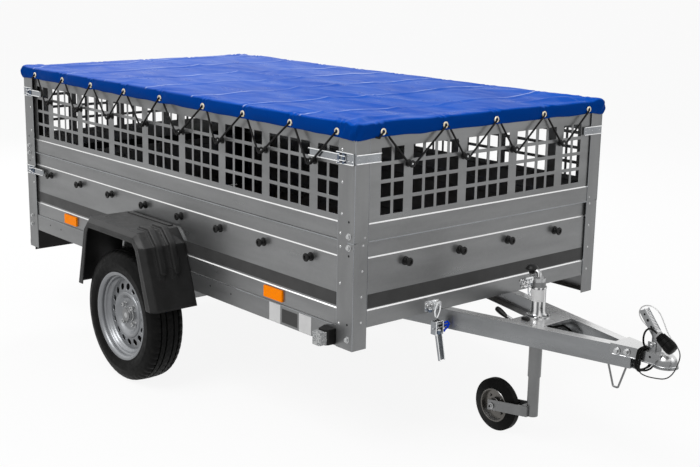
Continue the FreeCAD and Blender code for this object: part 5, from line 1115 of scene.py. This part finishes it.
def make_cover():
    xs = grid_lines(half_long, [AXLE + x - box_middle for x in EYELET_X], 250)
    ys = grid_lines(half_wide, EYELET_Y, 132)
    columns, rows = len(xs) - 1, len(ys) - 1
    shape = Shape()
    index = {}
    for i, u in enumerate(xs):
        for j, v in enumerate(ys):
            flat, _ = round_corner(u, v)
            flat = Vector((flat.x * (1 - INSET / half_long), flat.y * (1 - INSET / half_wide)))
            index[i, j] = len(shape.points)
            shape.points.append(Vector((box_middle + flat.x, flat.y, top_height(box_middle + flat.x, flat.y))))
    for i in range(columns):
        for j in range(rows):
            shape.faces.append((index[i, j], index[i + 1, j], index[i + 1, j + 1], index[i, j + 1]))
    rim = ([(i, 0) for i in range(columns)] + [(columns, j) for j in range(rows)]
           + [(i, rows) for i in range(columns, 0, -1)] + [(0, j) for j in range(rows, 0, -1)])
    above = [index[key] for key in rim]
    turns, drops = 6, 9
    for ring in range(1, turns + drops + 1):
        level = []
        for i, j in rim:
            flat, outward = round_corner(xs[i], ys[j])
            side_wall = abs(outward.y) > abs(outward.x)
            along = flat.x + box_middle - AXLE if side_wall else flat.y
            places = EYELET_X if side_wall else EYELET_Y
            start = top_height(box_middle + flat.x * (1 - INSET / half_long), flat.y * (1 - INSET / half_wide))
            seed = 3.0 * outward.y + 7.0 * outward.x
            fold = CRISP + (SOFT - CRISP) * bell(nearest(along, places), 0.03)
            if ring <= turns:
                turn = math.pi / 2 * (ring - 1) / (turns - 1)
                share = ring / turns
                out = fold * math.sin(turn) - fold + skirt_bulge(along, places, 0.0, seed) * share
                height = start - fold * (1 - math.cos(turn))
                out += corner_pleat(flat, 0.0)[0] * share
            else:
                depth = (ring - turns) / drops
                pleat, sag = corner_pleat(flat, depth)
                foot = COVER_FOOT + 0.0046 * wave(along, 0.0, seed, 0.1) - sag
                foot += 0.0018 * bell(nearest(along, places) - 0.026, 0.018)
                height = (start - fold) * (1 - depth) + foot * depth
                out = skirt_bulge(along, places, depth, seed) + pleat
            level.append(len(shape.points))
            shape.points.append(Vector((box_middle + flat.x + outward.x * out, flat.y + outward.y * out, height)))
        for k in range(len(rim)):
            after = (k + 1) % len(rim)
            shape.faces.append((above[k], level[k], level[after], above[after]))
        above = level
    return shape


cover = make_cover().make("laced_cover", COVER, "box", ("cover", "cover_hem"), smooth=70)
thickness = cover.modifiers.new("thickness", "SOLIDIFY")
thickness.thickness = 0.0011
thickness.offset = 1.0


def skirt_face(along, z, places, seed):
    depth = max(0.0, (COVER_TOP - SOFT - z) / (COVER_TOP - SOFT - COVER_FOOT))
    return skirt_bulge(along, places, depth, seed) + 0.0012


eyelets, lacing = Shape(), Shape()
LACE = 0.0038
EYELET_Z = 1.159


def add_eyelet(place, outward):
    eyelets.lathe(place, outward, mm("6.2 -2, 6.2 1.6, 7.2 2.6, 9.4 2.8, 11.4 1.8, 12.4 0, 12.4 -0.6"), 28)


def lace_wall(eyelet_places, hook_values, place_at, seed):
    """The elastic cord of one wall: out of each eyelet, round the hook behind it, and up under the hem."""
    route = []
    for number in range(len(eyelet_places) - 1, 0, -1):
        eyelet, hook, before = eyelet_places[number], hook_values[number - 1], eyelet_places[number - 1]
        out = skirt_face(eyelet, EYELET_Z, eyelet_places, seed)
        route += [place_at(eyelet, out - 0.004, EYELET_Z), place_at(eyelet - 0.001, out + 0.0035, EYELET_Z - 0.001),
                  place_at(eyelet - 0.007, out + 0.0045, EYELET_Z - 0.008)]
        ring = 0.0062 + LACE
        for step in range(7):
            angle = math.radians(-35 - 110 * step / 6)
            route.append(place_at(hook + ring * math.cos(angle), 0.0115, HOOK_Z + ring * math.sin(angle)))
        out = skirt_face(before + 0.026, COVER_FOOT, eyelet_places, seed)
        route += [place_at(before + 0.03, max(0.003, out - 0.0065), COVER_FOOT - 0.004),
                  place_at(before + 0.022, max(0.003, out - 0.0065), COVER_FOOT + 0.008),
                  place_at(before + 0.004, 0.0035, EYELET_Z - 0.002)]
    eyelet = eyelet_places[0]
    out = skirt_face(eyelet, EYELET_Z, eyelet_places, seed)
    route += [place_at(eyelet, out - 0.003, EYELET_Z), place_at(eyelet - 0.002, out + 0.0035, EYELET_Z - 0.001),
              place_at(eyelet - 0.02, out + 0.003, COVER_FOOT - 0.002),
              place_at(eyelet - 0.034, 0.004, COVER_FOOT + 0.002)]
    lacing.tube(route, LACE, 8)


for side in SIDES:
    for x in EYELET_X:
        out = skirt_face(x, EYELET_Z, EYELET_X, 3.0 * side)
        add_eyelet(Vector((AXLE + x, side * (half_wide + out), EYELET_Z)), (0, side, 0))
    lace_wall(EYELET_X, HOOK_X, lambda x, out, z, side=side: at(x, side * (half_wide - 0.0005 + out), z), 3.0 * side)
for end in SIDES:
    face = AXLE + (BOX_FRONT if end > 0 else BOX_REAR) + end * STAND_OFF
    for y in EYELET_Y:
        out = skirt_face(y, EYELET_Z, EYELET_Y, 7.0 * end)
        add_eyelet(Vector((face + end * out, y, EYELET_Z)), (end, 0, 0))
    lace_wall(EYELET_Y, END_KNOB_Y, lambda y, out, z, end=end, face=face: Vector((face + end * (out - 0.0005), y, z)),
              7.0 * end)
cover_eyelets = eyelets.make("cover_eyelets", EYELET, "box")
lacing.make("cover_lacing", LACE_CORD, "box", smooth=60)


# Road wheels
WHEEL_RADIUS = 0.273
TRACK_HALF = 0.7595


# Half a tyre's section from the bead to the tread's middle: radius, distance from the middle plane
TYRE_HALF = mm(
    "169 58, 176 66.5, 184 70, 186 71.2, 188.5 70.8, 194 73.8, 206 76.8, 218 77.5, 223 78.2, 225.5 77.2, 234 75.7, "
    "244 72.8, 250 70.5, 256 66.8, 262 62.5, 266.5 57, 269.2 51, 270.5 45, 270.8 43.2, 264 42.2, 263.8 38.2, "
    "271.4 37.2, 272.2 27, 272.5 19.5, 265.5 18.5, 265.5 14.2, 272.7 13.2, 273 4")


def add_tyre(shape, side):
    """A tyre with stepped tread blocks, whose grooves slant across it."""
    section = [(r, -y) for r, y in TYRE_HALF] + [(r, y) for r, y in reversed(TYRE_HALF)]
    steps = 216
    centre = at(0, side * TRACK_HALF, WHEEL_RADIUS)
    points, faces = [], []
    for step in range(steps):
        angle = math.tau * step / steps
        for radius, y in section:
            shift = depth = 0.0
            if radius >= 0.256 and abs(y) > 0.043:
                depth = 0.0042 * (1.0 if radius > 0.262 else 0.45) if step % 4 == 0 else 0.0
            elif radius > 0.27:
                depth = 0.003 if (step + int(abs(y) * 200)) % 4 == 0 else 0.0
                shift = 0.35 * (0.043 - abs(y)) / 0.043
            turn = angle + (shift + 6 * y) * 2 * math.tau / steps
            flat = radius - depth
            points.append(centre + Vector((flat * math.sin(turn), y, flat * math.cos(turn))))
    count = len(section)
    for step in range(steps):
        first, after = step * count, (step + 1) % steps * count
        for number in range(count):
            beside = (number + 1) % count
            faces.append((first + number, first + beside, after + beside, after + number))
    shape.add(points, faces)


VENTS = 16
VENT_CIRCLE = 0.118
VENT_RADIUS = 0.0132


def disc_height(radius):
    """How far out the disc's holed ring stands at a radius."""
    return 0.0255 + 0.0085 * (0.143 - radius) / 0.043


def add_vented_ring(shape, centre, side):
    inner, outer, per_side = 0.0985, 0.1445, 6
    span = math.tau / VENTS
    for sector in range(VENTS):
        middle = span * sector
        border = []
        for edge in range(4):
            for step in range(per_side):
                t = step / per_side
                corner = {0: (inner, -0.5 + t), 1: (inner + (outer - inner) * t, 0.5), 2: (outer, 0.5 - t),
                          3: (outer - (outer - inner) * t, -0.5)}[edge]
                border.append((corner[0], middle + corner[1] * span))
        count = len(border)
        hub = (VENT_CIRCLE * math.cos(middle), VENT_CIRCLE * math.sin(middle))
        points = []
        for level, share in enumerate((1.0, 0.55, 0.18, 0.0, -0.05)):
            for radius, angle in border:
                far = (radius * math.cos(angle), radius * math.sin(angle))
                way = math.atan2(far[1] - hub[1], far[0] - hub[0])
                lip = VENT_RADIUS + (0.0009 if level < 4 else 0.0)
                near = (hub[0] + lip * math.cos(way), hub[1] + lip * math.sin(way))
                mixed = max(share, 0.0)
                u = near[0] + (far[0] - near[0]) * mixed
                v = near[1] + (far[1] - near[1]) * mixed
                drop = 0.003 if level == 4 else (0.0006 if level == 3 else 0.0)
                y = disc_height(math.hypot(u, v)) - drop
                points.append(Vector(centre) + Vector((u, side * y, v)))
        faces = []
        for level in range(4):
            for k in range(count):
                after = (k + 1) % count
                faces.append((level * count + k, level * count + after, (level + 1) * count + after,
                              (level + 1) * count + k))
        shape.add(points, faces)


RIM_BARREL = mm(
    "179 -70, 183 -68, 182 -65.5, 172 -64, 168 -60, 167.2 -35, 150 -20, 147 -15, 147 18, 150 23, 165.5 33, 167.2 60, "
    "172 64, 181.5 65, 183.8 67.2, 183 70.2, 179.5 71.2, 174 69.8, 169 66.8, 166 62, 164.8 56, 164.6 50, 160 47.8, "
    "158 44, 157.2 38, 151 33, 146.2 29, 144 24, 144 -16, 147.5 -24, 164.2 -38, 165 -60, 170 -67, 176 -70")
RIM_MIDDLE = mm(
    "99 32, 98.8 34, 97.2 37.2, 94 39.8, 89.5 40.4, 85 39.2, 80 36, 75 31.5, 70.5 26.5, 67 23.8, 62 23, 34 23, "
    "31 22.5, 30 20, 62 19.8, 69 20.5, 74 24.5, 80 30, 86 35, 93 35, 97 31")

for side, hand in HANDS:
    body = "wheel_" + hand
    centre, outward = at(0, side * TRACK_HALF, WHEEL_RADIUS), Vector((0, side, 0))
    tyre, rim, drum_shade, bolts = shapes(4)
    add_tyre(tyre, side)
    tyre.make("road_tyre_" + hand, TYRE, body, ("tyre_" + hand,), smooth=38)
    for profile in (RIM_BARREL, RIM_MIDDLE):
        rim.lathe(centre, outward, profile, 96, closed=True)
    add_vented_ring(rim, centre, side)
    rim.make("road_rim_" + hand, RIM, body, ("rim_" + hand,), smooth=45)
    # A dark disc behind the vents: the brake drum, drawn near black as painted shade so the vents read dark.
    drum_shade.lathe(centre, outward, mm("72 4, 74 8.5, 142 8.5, 142.5 4"), 64, closed=True)
    drum_shade.make("brake_drum_shade_" + hand, HOLE_SHADE, body)
    for x, z in ring_points(4, math.radians(45)):
        place = centre + outward * 0.023 + Vector((0.05 * x, 0, 0.05 * z))
        bolts.lathe(place, outward, mm("12.5 0, 12.2 2.5, 10 3.2, 0 3.2"), 24)
        bolts.lathe(place + outward * 0.003, outward, mm("9.5 0, 9.7 1, 9.7 10.5, 7.8 13, 5 13.5, 4.5 11, 0 11"), 6)
    bolts.lathe(centre, outward, mm("30 20, 30 25.5, 27.8 26.8, 27.2 37, 25 41.2, 20 43.2, 10 44.1, 0 44.3"), 40)
    bolts.make("wheel_bolts_" + hand, BRIGHT, body, smooth=35)


# Staging: a pale floor, plain level light
def tree_maths(tree, operation, first, second):
    made = tree.nodes.new("ShaderNodeMath")
    made.operation = operation
    tree.links.new(first, made.inputs[0])
    if isinstance(second, float):
        made.inputs[1].default_value = second
    else:
        tree.links.new(second, made.inputs[1])
    return made.outputs[0]


def white_for_view(tree, plain, white, strength, target):
    """Show the white shader to rays from the camera, a mirror or a glass, and the plain one to all others."""
    path = tree.nodes.new("ShaderNodeLightPath").outputs
    share = path["Is Camera Ray"]
    for label in ("Is Glossy Ray", "Is Transmission Ray"):
        share = tree_maths(tree, "MAXIMUM", share, path[label])
    blend = tree.nodes.new("ShaderNodeMixShader")
    for number, source in enumerate((tree_maths(tree, "MULTIPLY", share, strength), plain, white)):
        tree.links.new(source, blend.inputs[number])
    tree.links.new(blend.outputs["Shader"], tree.nodes[target].inputs["Surface"])


def stage_scene():
    floor_mesh = bpy.data.meshes.new("floor")
    floor_mesh.from_pydata([(-90, -90, 0), (90, -90, 0), (90, 90, 0), (-90, 90, 0)], [], [(0, 1, 2, 3)])
    floor = add_object("floor", floor_mesh)
    paint = bpy.data.materials.new("floor_paint")
    paint.use_nodes = True
    tree = paint.node_tree
    shader = tree.nodes["Principled BSDF"]
    shader.inputs["Base Color"].default_value = (0.86, 0.86, 0.86, 1)
    shader.inputs["Roughness"].default_value = 0.9
    shader.inputs["Specular IOR Level"].default_value = 0.1
    glow = tree.nodes.new("ShaderNodeEmission").outputs["Emission"]
    white_for_view(tree, shader.outputs["BSDF"], glow, 0.9, "Material Output")
    floor_mesh.materials.append(paint)

    world = bpy.data.worlds.new("studio")
    bpy.context.scene.world = world
    world.use_nodes = True
    tree = world.node_tree
    plain, white = tree.nodes["Background"], tree.nodes.new("ShaderNodeBackground")
    for background, strength in ((plain, 0.55), (white, 1.0)):
        background.inputs["Color"].default_value = (1, 1, 1, 1)
        background.inputs["Strength"].default_value = strength
    white_for_view(tree, plain.outputs["Background"], white.outputs["Background"], 1.0, "World Output")

    for name, place, size, power, target in (
            ("key", (0.5, -4.5, 6.5), 4.5, 300, (0, 0, 0.6)),
            ("fill", (6.0, 2.5, 3.5), 4.0, 60, (0.4, 0, 0.6)),
            ("back", (-5.2, 2.6, 3.2), 1.2, 150, (-0.2, 0, 1.2))):
        light = bpy.data.lights.new(name, "AREA")
        light.size = size
        light.energy = power
        lamp = add_object(name, light)
        lamp.location = place
        lamp.visible_glossy = name != "back"
        lamp.rotation_euler = (Vector(target) - Vector(place)).to_track_quat("-Z", "Y").to_euler()
    bpy.context.scene.view_settings.view_transform = "Standard"


stage_scene()
